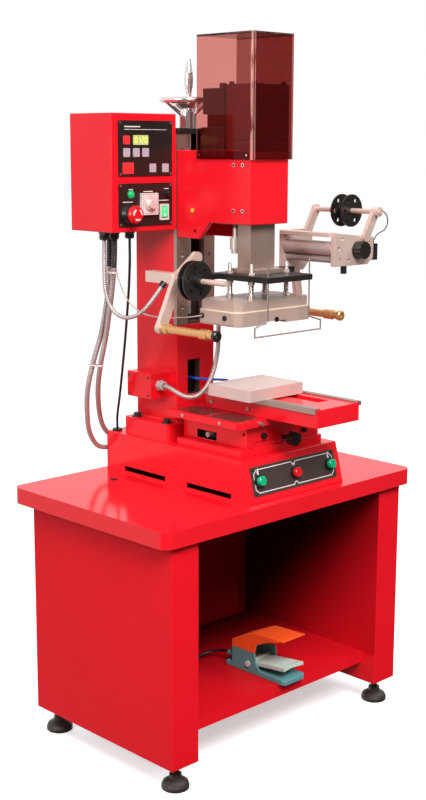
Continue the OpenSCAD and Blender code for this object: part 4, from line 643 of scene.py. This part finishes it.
SEGMENTS = {"0": "abcdef", "1": "bc", "2": "abdeg"}
BARS = {"a": (0, 6, 1), "d": (0, -6, 1), "g": (0, 0, 1), "f": (-3, 3, 0), "b": (3, 3, 0), "e": (-3, -3, 0),
        "c": (3, -3, 0)}
BAR_RADIUS = 1.0
BAR_THICK = 0.2
BAR_RIM = 0.2
BAR_RISE = 0.06
FIGURE_X = -213.5
FIGURE_STEP = 9.7
FIGURE_Z = 1391.0
GLASS_Y = 44.1
bpy.ops.object.select_all(action="DESELECT")
bpy.ops.mesh.primitive_cylinder_add(
    vertices=6, radius=BAR_RADIUS / MM, depth=BAR_THICK / MM, rotation=(math.pi / 2, 0, 0))
bar = bpy.context.object
bar.scale = (0.85, 2.3, 1)
bpy.ops.object.transform_apply(location=True, rotation=True, scale=True)
bpy.ops.object.mode_set(mode="EDIT")
grab(bar, "FACE", lambda side: side.normal.y < -0.9)
bpy.ops.mesh.inset(thickness=BAR_RIM / MM)
bpy.ops.mesh.extrude_region_move(TRANSFORM_OT_translate={"value": (0, -BAR_RISE / MM, 0)})
bpy.ops.object.mode_set(mode="OBJECT")
marks = []
for number, figure in enumerate("0120"):
    for mark in SEGMENTS[figure]:
        dx, dz, flat = BARS[mark]
        copy = bpy.data.objects.new("display_bar", bar.data.copy())
        bpy.context.collection.objects.link(copy)
        spot = Matrix.Translation(pt(FIGURE_X + FIGURE_STEP * number + dx, GLASS_Y, FIGURE_Z + dz))
        copy.data.transform(spot @ Matrix.Rotation(math.pi / 2 * flat, 4, "Y"))
        marks.append(copy)
bpy.data.objects.remove(bar)
bpy.ops.object.select_all(action="DESELECT")
for mark in marks:
    mark.select_set(True)
bpy.context.view_layer.objects.active = marks[0]
bpy.ops.object.join()
digits = bpy.context.object
digits.name = "display_digits"
lit = Skin("digit_light", (0.75, 0.75, 0.2), roughness=0.4, emission_color=(0.75, 0.72, 0.12),
           emission_strength=0.7)
lit.drive("Base Color", lit.mix(lit.noise(2, 1.0), (0.7, 0.7, 0.15), (0.8, 0.8, 0.25)))
keep(digits, lit, "stand")

# White fittings: moulded seats of the temperature dial and the rocker, set in the panel.
# The dial's seat has dark ticks and a fine rule; the dial itself is turned aluminium.
DIAL_X = -178.0
DIAL_Z = 1251.0
DIAL_SEAT = -150.0
DIAL_TICKS = 24
TICK_RING = (17, 19.5)
INNER_RULE = (15.4, 16)
OUTER_RULE = (20.6, 21.3)
bezel = painted("bezel_face", (0.72, 0.57, 0.56), peel=0.02, grain=1.2, rough=0.35)
u, v = bezel.x - DIAL_X, bezel.z - DIAL_Z
ring = far(u, v)
ticks = v.math("ARCTAN2", u).wave(2 * math.pi / DIAL_TICKS).over(0.8, 0.1) * ring.between(*TICK_RING)
ticks = ticks + abs(u).most(abs(v)).between(*OUTER_RULE) + ring.between(*INNER_RULE)
bezel.drive("Base Color", bezel.mix(ticks * bezel.x.under(DIAL_SEAT), bezel.tint, (0.16, 0.08, 0.08)))
dress(bezel, "white_bezels")
dial = bare("dial_alu", (0.8, 0.66, 0.62), rough=0.34, grain=(1, 26, 1), height=0.01, metallic=0.4)
dress(dial, "temp_dial")

# Emergency stop: red mushroom cap of moulded plastic on a collar.
# Two pale turning arrows, as arcs, are printed on its face.
ESTOP_X = -237.0
ESTOP_Z = 1230.0
ESTOP_FACE = 16.0
ARROW_RING = (9.5, 13.5)
stop = painted("stop_cap", (0.66, 0.006, 0.012), peel=0.012, grain=1.5, rough=0.18)
u, v = stop.x - ESTOP_X, stop.z - ESTOP_Z
arcs = v.math("ARCTAN2", u).wave(2 * math.pi / 3).over(-0.25, 0.1) * far(u, v).between(*ARROW_RING)
stop.drive("Base Color", stop.mix(arcs * stop.y.under(ESTOP_FACE), stop.tint, (0.78, 0.6, 0.56)))
dress(stop, "estop")

# Rocker switch: a clear green key that a lamp inside lights, brighter at its upper end.
# A pale bar and a pale ring mark its two ends.
ROCKER_X = -131.0
ROCKER_Z = 1232.0
ROCKER_SIGN = 7.0
ROCKER_RING = (2.4, 3.8)
ROCKER_BAR = 3.5
rock = painted("rocker_key", (0.03, 0.62, 0.2), peel=0.01, grain=1.5, rough=0.2, emission_strength=0.7)
u, v = rock.x - ROCKER_X, rock.z - ROCKER_Z
sign = abs(u).under(0.8) * (v - ROCKER_SIGN).between(-ROCKER_BAR, ROCKER_BAR)
sign = sign + far(u, v + ROCKER_SIGN).between(*ROCKER_RING)
rock.drive("Base Color", rock.mix(sign, rock.tint, (0.75, 0.85, 0.78)))
rock.drive("Emission Color", rock.mix(v.over(-2, 8), (0.01, 0.16, 0.05), (0.05, 0.42, 0.16)))
dress(rock, "rocker")

# Handwheel and its turning grip: turned steel, chromed and polished.
# A sleeve round the hub, with a neck and a flared dish, turns with the wheel.
WHEEL_Y = 74.0
SLEEVE_Z = 1436.6
SLEEVE_RADIUS = 21.0
SLEEVE_HEIGHT = 36.0
DISH = ((1.5, 0.86), (3.5, 1.0), (6.0, 1.45), (6.0, 1.2), (2.5, 1.03))
chrome = bare("chrome", (0.87, 0.79, 0.77), rough=0.15, grain=(4, 4, 4), height=0.0, metallic=0.9)
dress(chrome, "handwheel", "wheel_grip")
bpy.ops.object.select_all(action="DESELECT")
bpy.ops.mesh.primitive_cylinder_add(
    vertices=40, radius=SLEEVE_RADIUS / MM, depth=SLEEVE_HEIGHT / MM,
    location=pt(COLUMN_X, WHEEL_Y, SLEEVE_Z))
boss = bpy.context.object
boss.name = boss.data.name = "wheel_boss"
bpy.ops.object.transform_apply(location=True, rotation=True, scale=True)
bpy.ops.object.mode_set(mode="EDIT")
grab(boss, "FACE", lambda side: side.normal.z > 0.9)
for up, grow in DISH:
    bpy.ops.mesh.extrude_region_move(TRANSFORM_OT_translate={"value": (0, 0, up / MM)})
    bpy.ops.transform.resize(value=(grow, grow, 1))
bpy.ops.object.mode_set(mode="OBJECT")
keep(boss, chrome, "handwheel")

# Head: red casting that clamps on the ways, with a dark screw in its cheek.
# Bright socket screws are let into its sides, with their hex sockets given as painted shade.
HEAD_SIDE = -90.0
CHEEK_Y = -13.3
CHEEK_Z = 1189.0
CHEEK_SCREW = 4.8
SCREW_Y = (-137, -165)
SCREW_Z = (1240, 1338)
SOCKET = 2.6
SOCKET_SIDE = -60.0
head = painted("head_paint", RED, peel=0.03, grain=5.0, rough=0.22, specular_ior_level=GLOSS)
cheek = far(head.y - CHEEK_Y, head.z - CHEEK_Z).under(CHEEK_SCREW) * head.x.over(HEAD_SIDE + 0.2, 0.1)
head.drive("Base Color", head.mix(cheek * head.x.under(HEAD_SIDE + 10), head.tint, BLACK))
dress(head, "head_housing", edge=3.0)
socket = bare("socket_screw", (0.86, 0.78, 0.75), rough=0.2, grain=(4, 4, 4), height=0.004)
# Painted shade: a dark disc stands for each screw's hex socket.
socket_shade = socket.x * 0
for y in SCREW_Y:
    for z in SCREW_Z:
        socket_shade = socket_shade + far(socket.y - y, socket.z - z).under(SOCKET) * socket.x.under(SOCKET_SIDE)
socket.drive("Base Color", socket.mix(socket_shade, socket.tint, BLACK))
dress(socket, "head_screws")


# Neon lamp on the head's left side: a red moulded ring round a glowing lens.
# turned() makes such caps: a cylinder on the lathe, its edge eased, its middle sunk or raised.
def turned(name, skin, body, centre, axis, radius, height, rim, sink, ease):
    axis = Vector(axis)
    base = pt(*centre)
    top = base + axis * (height / MM)
    bpy.ops.object.select_all(action="DESELECT")
    bpy.ops.mesh.primitive_cylinder_add(
        vertices=28, radius=radius / MM, depth=height / MM, location=(base + top) / 2,
        rotation=axis.to_track_quat("Z", "Y").to_euler())
    piece = bpy.context.object
    piece.name = piece.data.name = name
    bpy.ops.object.transform_apply(location=True, rotation=True, scale=True)
    bpy.ops.object.mode_set(mode="EDIT")
    grab(piece, "FACE", lambda side: side.normal.dot(axis) > 0.9)
    bpy.ops.mesh.inset(thickness=rim / MM)
    bpy.ops.mesh.extrude_region_move(TRANSFORM_OT_translate={"value": axis * (-sink / MM)})

    def on_edge(corner):
        away = corner.co - top
        return abs(away.dot(axis)) < 5e-6 and away.length > (radius - 0.05) / MM

    grab(piece, "EDGE", lambda line: all(on_edge(corner) for corner in line.verts))
    bpy.ops.mesh.bevel(offset=ease / MM, segments=2)
    bpy.ops.object.mode_set(mode="OBJECT")
    keep(piece, skin, body)


LAMP_Y = -8.6
LAMP_Z = 1236.0
LEFT = (-1, 0, 0)
FRONT = (0, -1, 0)
turned("lamp_ring", scarlet, "head", (HEAD_SIDE, LAMP_Y, LAMP_Z), LEFT,
       radius=8.0, height=2.4, rim=2.4, sink=1.2, ease=0.8)
neon = Skin("neon", (0.9, 0.2, 0.03), roughness=0.2, emission_strength=1.1)
core = far(neon.y - LAMP_Y, neon.z - LAMP_Z).step(5.0, 0.5)
neon.drive("Emission Color", neon.mix(core, (0.7, 0.06, 0.01), (1.0, 0.5, 0.08)))
turned("lamp_lens", neon, "head", (HEAD_SIDE - 1, LAMP_Y, LAMP_Z), LEFT,
       radius=5.2, height=3.0, rim=2.0, sink=-1.0, ease=1.2)

# Smoked cover: bent acrylic whose sheets carry painted shade, darker on the front, the right sheet, the roof
# and the lap, with a pale glued seam that has a painted glint, and faint polishing haze.
# Under it stand the square air cylinder, of drawn aluminium, and the black valve with its counter.
# The flow regulator below the head is bright metal.
RIGHT_SHEET = 31.0
FRONT_SHEET = -191.5
ROOF_SHEET = 1613.0
LAP_TOP = 1368.5
SEAM_LEFT = -90.2
SEAM_BACK = -188.5
SEAM_FRONT = -193.0
SEAM_BEAD = (-87.5, -84.5)
COUNTER_Y = (-42, -14)
COUNTER_Z = (1388, 1402)
REGULATOR_TOP = 1200.0
smoked = Skin("smoked", (0.66, 0.25, 0.225), ior=1.2, transmission_weight=1.0, emission_strength=1.0)
smoked.drive("Roughness", smoked.noise(30, 3.0).step(0.45, 0.8) * 0.08 + 0.015)
# Painted shade: each sheet of the cover is tinted darker by its place.
sheet = smoked.mix(smoked.noise(70, 3.0), (0.64, 0.215, 0.19), (0.7, 0.24, 0.21))
sheet = smoked.mix(smoked.x.over(RIGHT_SHEET), sheet, (0.45, 0.24, 0.22))
sheet = smoked.mix(smoked.y.under(FRONT_SHEET), sheet, (0.4, 0.075, 0.07))
sheet = smoked.mix(smoked.z.over(ROOF_SHEET), sheet, (0.15, 0.07, 0.06))
sheet = smoked.mix(smoked.z.under(LAP_TOP), sheet, (0.27, 0.13, 0.12))
glue = smoked.y.under(SEAM_BACK) * smoked.x.under(SEAM_LEFT)
glue = glue + smoked.y.under(SEAM_FRONT) * smoked.x.between(*SEAM_BEAD)
# The seam is pale glue in the base colour; its glow is a painted highlight.
seam_and_glint = glue * smoked.noise(18, 3.0, (1, 1, 4)).step(0.3, 0.5)
smoked.drive("Base Color", smoked.mix(seam_and_glint, sheet, (0.85, 0.62, 0.58)))
smoked.drive("Emission Color", smoked.mix(seam_and_glint, (0, 0, 0), (0.3, 0.17, 0.15)))
dress(smoked, "smoked_cover", edge=1.2)
barrel = bare("cylinder_alu", (0.2, 0.1, 0.1), rough=0.5, grain=(1, 1, 26), height=0.01, metallic=0.2)
dress(barrel, "air_cylinder", edge=1.0)
valve = painted("valve_body", (0.1, 0.088, 0.086), peel=0.03, grain=1.0, rough=0.35, emission_strength=1.0)
regulator = valve.z.under(REGULATOR_TOP)
count = valve.y.between(*COUNTER_Y) * valve.z.between(*COUNTER_Z)
count = count * (valve.y + valve.z * 0.2).wave(4.5).over(0.3)
counter = valve.mix(count, valve.tint, (0.16, 0.12, 0.03))
valve.drive("Base Color", valve.mix(regulator, counter, (0.66, 0.55, 0.47)))
valve.drive("Metallic", regulator * 0.8)
valve.drive("Emission Color", valve.mix(count, (0, 0, 0), (0.1, 0.07, 0.012)))
dress(valve, "air_valve", edge=0.8)

# Ram: ground steel bar with a flange, streaked by the guide.
# It carries the black tool plate, which is fixed under the flange.
ram = bare("ram_steel", (0.4, 0.275, 0.23), rough=0.3, grain=(1, 1, 30), height=0.006, metallic=0.6)
dress(ram, "ram", edge=1.0)
dress(black_metal, "tool_plate", edge=1.0)

# Posts: threaded steel studs with plain nuts.
# They hold the heater under the tool plate and set its distance.
THREAD = 1.6
stud = bare("stud_steel", (0.72, 0.62, 0.58), rough=0.26, grain=(4, 4, 4), height=0.004, metallic=0.85)
stud.bump(stud.relief + stud.z.wave(THREAD) * 0.14)
dress(stud, "posts")

# Heater: milled aluminium block with a cream gasket under its top plate, and black screws in its sides.
# The bent wire bail hangs in front of it.
GASKET_LOW = 1024.4
GASKET_HIGH = 1026.4
HEATER_LEFT = -150.4
HEATER_FRONT = -211.9
heater = bare("heater_alu", (0.53, 0.385, 0.32), rough=0.38, grain=(1, 26, 1), height=0.012, metallic=0.3)
gasket = heater.z.between(GASKET_LOW, GASKET_HIGH)
heater.drive("Base Color", heater.mix(gasket, heater.tint, (0.9, 0.74, 0.6)))
dress(heater, "heater", edge=1.0)
for number, (spot, way) in enumerate((
    ((HEATER_LEFT, -172, 1012), LEFT), ((HEATER_LEFT, -102, 1012), LEFT),
    ((COLUMN_X, HEATER_FRONT, 1003), FRONT),
)):
    turned(f"heater_screw_{number + 1}", black_metal, "ram", spot, way,
           radius=6.0, height=2.6, rim=2.8, sink=1.6, ease=0.6)
wire_steel = bare("wire_steel", (0.4, 0.33, 0.3), rough=0.3, grain=(4, 4, 4), height=0.004, metallic=0.7)
dress(wire_steel, "bail")

# Foil frames: milled aluminium plates and arms, screwed together and to the tool plate.
# The stop, the terminal block and the hose's plug on them are black.
TERMINAL_X = 267.3
TERMINAL_TOP = 1160.0
STOP_X = (163, 176)
STOP_BACK = -220.0
STOP_TOP = 1109.5
PLUG_Y = -43.0
PLUG_RISE = 1294.0
PLUG_END = 873.0
PLUG_RADIUS = 8.6
frames = bare("frame_plate", (0.74, 0.545, 0.47), rough=0.36, grain=(20, 1, 1), height=0.012)
terminal = frames.x.over(TERMINAL_X) * frames.z.under(TERMINAL_TOP)
stop_pin = frames.x.between(*STOP_X) * frames.z.under(STOP_TOP) * frames.y.under(STOP_BACK)
plug = far((frames.x - frames.z + PLUG_RISE) * DIAGONAL, frames.y - PLUG_Y).under(PLUG_RADIUS)
black = terminal + stop_pin + plug * (frames.x + frames.z).under(PLUG_END)
frames.drive("Base Color", frames.mix(black, frames.tint, BLACK))
frames.drive("Metallic", frames.blend(black, 0.4, 0.0))
dress(frames, "foil_frames", edge=0.8)

# Reels and knob: black moulded flanges on the shafts of the foil frames.
# The tension knob is a fluted moulding of the same plastic.
dress(moulded, "unwind_spool", "rewind_reel", "tension_knob")

# Rollers: a ground feed roller over a pale rubber one, and two turned brass guides.
# The left guide has a black end cap, and the right one has painted shade for its dark bore.
CAP_Y = -242.5
BORE_Y = -205.0
BORE_X = 200.0
BORE_Z = 990.0
BORE_RADIUS = 4.5
feed_steel = bare("roller_steel", (0.55, 0.43, 0.4), rough=0.4, grain=(1, 30, 1), height=0.001, metallic=0.35)
dress(feed_steel, "feed_roller")
silicone = painted("pale_rubber", (0.34, 0.27, 0.25), peel=0.04, grain=1.2, rough=0.42)
dress(silicone, "pinch_roller")
for name in ("left_roller", "right_roller"):
    roller = bare(name + "_brass", (0.72, 0.4, 0.165), rough=0.28, grain=(12, 12, 12), height=0.0)
    black_cap_and_bore_shade = roller.y.under(CAP_Y)
    if name == "right_roller":
        # On the right guide, the dark bore is painted shade.
        black_cap_and_bore_shade = roller.y.under(BORE_Y) * far(roller.x - BORE_X, roller.z - BORE_Z).under(BORE_RADIUS)
    roller.drive("Base Color", roller.mix(black_cap_and_bore_shade, roller.tint, BLACK))
    roller.drive("Metallic", roller.blend(black_cap_and_bore_shade, 0.7, 0.0))
    dress(roller, name)

# Reel lead: a thin black wire from the rewind shaft to the terminal block.
# Both its ends are on the foil frames, so it goes down with the ram.
dress(cable, "reel_wire")
reel_lead, = lay_cord("reel_lead", [
    (275.3, -255, 1230), (283.3, -255, 1230), (296, -254, 1221), (303, -252, 1205), (299, -247, 1188),
    (285, -238, 1178), (276, -234, 1164.6), (276, -234, 1156.6)],
    radius=1.3, skin=cable)
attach(reel_lead, "ram")
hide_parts("reel_wire")

# Work table: red castings that slide on each other, with black lock screws and a knob.
# The saddle's pocket is painted dark as shade round its steel cross screw; two ground strips are let into the
# cross plate.
STEEL = (0.5, 0.41, 0.37)
CROSS_Y = -57.0
CROSS_Z = 726.3
CROSS_RADIUS = 6.4
CROSS_END = -74.0
POCKET = (-92.6, -72.4, 716.8, 735.8)
POCKET_Y = (-90, -24)
LOCK_SCREWS = -186.4
STRIPS = (-126, -58, 779, 781)
FRONT_STRIP = (-190, -92)
BACK_STRIP = (-84, 16)
LEFT_SCREWS = -136.3
FRONT_SCREWS = -204.3
dress(casting, "xy_base", edge=1.5)
saddle = painted("saddle_paint", RED, peel=0.04, grain=5.0, rough=0.22, specular_ior_level=GLOSS)
pocket = patch(saddle, *POCKET) * saddle.y.between(*POCKET_Y)
cross_screw = far(saddle.y - CROSS_Y, saddle.z - CROSS_Z).under(CROSS_RADIUS) * saddle.x.under(CROSS_END)
# Painted shade fills the pocket; the lock screws on the front are black.
pocket_shade_and_screws = pocket + saddle.y.under(LOCK_SCREWS)
coat_and_pocket_shade = saddle.mix(pocket_shade_and_screws, saddle.tint, BLACK)
saddle.drive("Base Color", saddle.mix(pocket * cross_screw, coat_and_pocket_shade, STEEL))
dress(saddle, "saddle", edge=1.5)
dress(moulded, "saddle_knob")
plate = painted("plate_paint", RED, peel=0.03, grain=5.0, rough=0.22, specular_ior_level=GLOSS)
ground = patch(plate, *STRIPS)
ground = ground * (plate.y.between(*FRONT_STRIP) + plate.y.between(*BACK_STRIP))
screws = plate.x.under(LEFT_SCREWS) + plate.y.under(FRONT_SCREWS)
strip = plate.mix(plate.noise(1, 2.0, (40, 1, 1)), (0.1, 0.07, 0.06), (0.3, 0.2, 0.18))
plate.drive("Base Color", plate.mix(screws, plate.mix(ground, plate.tint, strip), STEEL))
plate.drive("Metallic", (ground + screws) * 0.8)
dress(plate, "cross_plate", edge=0.8)

# Work slide: red aluminium slide with steel edge strips and a plain work slot.
# The fixture block on it is milled aluminium.
slide = painted("slide_paint", RED, peel=0.012, grain=3.0, rough=0.18, specular_ior_level=GLOSS)
dress(slide, "work_slide", edge=1.2)
rails = bare("rail_steel", (0.42, 0.32, 0.28), rough=0.34, grain=(1, 30, 1), height=0.008, metallic=0.8)
dress(rails, "slide_rails", edge=0.5)
block = bare("block_alu", (0.68, 0.5, 0.46), rough=0.4, grain=(1, 26, 1), height=0.012, metallic=0.3)
dress(block, "fixture_block", edge=0.8)

# Base conduits: ribbed steel hose in black sleeves below the box, down the back to elbows in the base.
# Their ribs are closer and rounder than the solids'; two white nylon ties hold them together.
GLAND_MOUTH = 1172.0
GLAND_STRAIGHT = 22.0
SLEEVE_END = 1108.0
TIE_HEIGHTS = (872, 1096)
TIE_RING = 7.7
TIE_STRAP = 0.8
TIE_WIDTH = 2.8
ribbed = bare("conduit", (0.48, 0.41, 0.395), rough=0.36, grain=(2, 2, 2), height=0.01, metallic=0.6)
sleeved = bare("sleeved_conduit", (0.46, 0.39, 0.375), rough=0.36, grain=(2, 2, 2), height=0.01)
sleeve = sleeved.z.over(SLEEVE_END, 1)
sleeved.drive("Base Color", sleeved.mix(sleeve, sleeved.tint, (0.02, 0.014, 0.013)))
sleeved.drive("Metallic", sleeved.blend(sleeve, 0.6, 0.0))
dress(ribbed, "base_conduits", "reel_conduit", "heater_conduit")


def leave(x, y):
    """Straight end of a cord under its gland."""
    return [(x, y, GLAND_MOUTH), (x, y, GLAND_MOUTH - GLAND_STRAIGHT)]


FRONT_HOSE = leave(-232, 99.5) + [
    (-232, 102, 1112), (-226, 117, 1056), (-219, 137, 1000), (-214, 156, 942), (-214, 176, 876),
    (-200, 204, 812), (-168, 240, 750), (-145, 256, 709), (-120, 263, 683), (-92, 264, 674.5),
    (-70, 264, 674)]
REAR_HOSE = leave(-217, 135.5) + [
    (-216, 138, 1112), (-211, 149, 1056), (-207, 164, 1004), (-209, 180, 944), (-219, 198, 876),
    (-222, 217, 804), (-202, 242, 724), (-179, 257, 683), (-154, 263, 657), (-126, 264, 648.5),
    (-104, 264, 648)]
front_hose, = lay_cord("base_conduit_front", FRONT_HOSE, radius=6.5, skin=sleeved, ribs=5.4)
rear_hose, = lay_cord("base_conduit_rear", REAR_HOSE, radius=6.5, skin=sleeved, ribs=5.4)
for piece in (front_hose, rear_hose):
    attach(piece, "stand")
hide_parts("base_conduits")
nylon = painted("white_nylon", (0.72, 0.62, 0.6), peel=0.02, grain=1.2, rough=0.35)
for number, height in enumerate(TIE_HEIGHTS):
    front, rear = (min(smooth(hose), key=lambda p: abs(p.z - height)) for hose in (FRONT_HOSE, REAR_HOSE))
    reach = rear - front
    reach.z = 0
    bpy.ops.object.select_all(action="DESELECT")
    bpy.ops.mesh.primitive_torus_add(
        major_radius=TIE_RING / MM, minor_radius=TIE_STRAP / MM, major_segments=32, minor_segments=8)
    tie = bpy.context.object
    tie.name = tie.data.name = f"cable_tie_{number + 1}"
    tie.scale = (1, 1, TIE_WIDTH)
    bpy.ops.object.transform_apply(location=True, rotation=True, scale=True)
    bpy.ops.object.mode_set(mode="EDIT")
    grab(tie, "FACE", lambda side: all(v.co.xy.dot(reach.xy) > -1e-6 for v in side.verts))
    bpy.ops.transform.translate(value=reach / MM)
    bpy.ops.object.mode_set(mode="OBJECT")
    tie.data.transform(Matrix.Translation(pt(front.x, front.y, height)))
    keep(tie, nylon, "stand")

# Black lead and blue air line: a smooth rubber cable from the control box into the base.
# The air line is blue plastic tube from the column's window into the base.
dress(cable, "black_cord")
black_lead, = lay_cord("black_lead", leave(-187, 99.5) + [
    (-186, 101, 1114), (-178, 116, 1040), (-160, 152, 920), (-138, 196, 800), (-124, 222, 748),
    (-119, 231, 726), (-118, 232, 712), (-118, 232, 700)],
    radius=3.0, skin=cable)
blue = painted("blue_tube", (0.012, 0.09, 0.6), peel=0.01, grain=2.0, rough=0.22)
dress(blue, "air_tube")
air_line, = lay_cord("blue_air_line", [
    (-34, 74, 838), (-32, 50, 838), (-16, 24, 836), (20, 14, 832), (60, 26, 822), (90, 56, 790),
    (100, 92, 740), (100, 100, 716), (100, 100, 700)],
    radius=3.0, skin=blue)
for piece, node in ((black_lead, "black_cord"), (air_line, "air_tube")):
    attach(piece, "stand")
    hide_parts(node)

# Hoses and wire laid between the stand, the head and the ram: ribbed conduits to the foil arm and the heater,
# and a pale lead. Each is laid in two pieces, the first running from stand to head and the second from head
# to ram.
pale = painted("pale_wire", (0.5, 0.4, 0.37), peel=0.02, grain=1.4, rough=0.4)
dress(pale, "sensor_wire")
arm_1, arm_2 = lay_cord("foil_arm_conduit", leave(-262, 99.5) + [
    (-263, 99, 1112), (-268, 90, 1060), (-270, 66, 1022), (-268, 34, 1006), (-265, 4, 1008),
    (-260, -22, 1020), (-252, -38, 1038), (-239.4, -43, 1054.6), (-219.6, -43, 1074.4)],
    radius=4.75, skin=ribbed, ribs=4.2, cut=lambda p: p.y > 37)
pt(-268, 98, 1050)
pt(-268, 40, 1050)
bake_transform(arm_1)
pt(-258, 34, 1010)
pt(-258, -38, 1010)
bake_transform(arm_2)
heat_1, heat_2 = lay_cord("heater_conduit", [
    (-124, 53, 829), (-124, 37, 827.5), (-122, 15, 820), (-115, -8, 812), (-104, -28, 813), (-92, -43, 826),
    (-80, -53, 850), (-70, -60, 886), (-64, -63, 930), (-61.5, -62, 979.7), (-61.5, -62, 995.7)],
    radius=5.5, skin=ribbed, ribs=4.6, cut=lambda p: p.y > -20 or p.z < 870)
pt(-116, 4, 812)
pt(-72, -56, 868)
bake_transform(heat_1)
pt(-62, -62, 874)
pt(-62, -62, 988)
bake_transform(heat_2)
sense_1, sense_2 = lay_cord("sensor_lead", leave(-190, 149.5) + [
    (-191, 147, 1116), (-196, 127, 1074), (-200, 92, 1032), (-202, 40, 1008), (-196, -20, 1003),
    (-182, -62, 1006), (-170, -88, 1009), (-158.8, -102, 1012), (-150.8, -102, 1012)],
    radius=1.6, skin=pale, cut=lambda p: p.y > 30)
pt(-200, 120, 1040)
pt(-200, 34, 1040)
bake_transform(sense_1)
pt(-200, 26, 1005)
pt(-200, -90, 1005)
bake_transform(sense_2)
for piece, node in ((arm_1, "reel_conduit"), (heat_1, "heater_conduit"), (sense_1, "sensor_wire")):
    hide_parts(node)
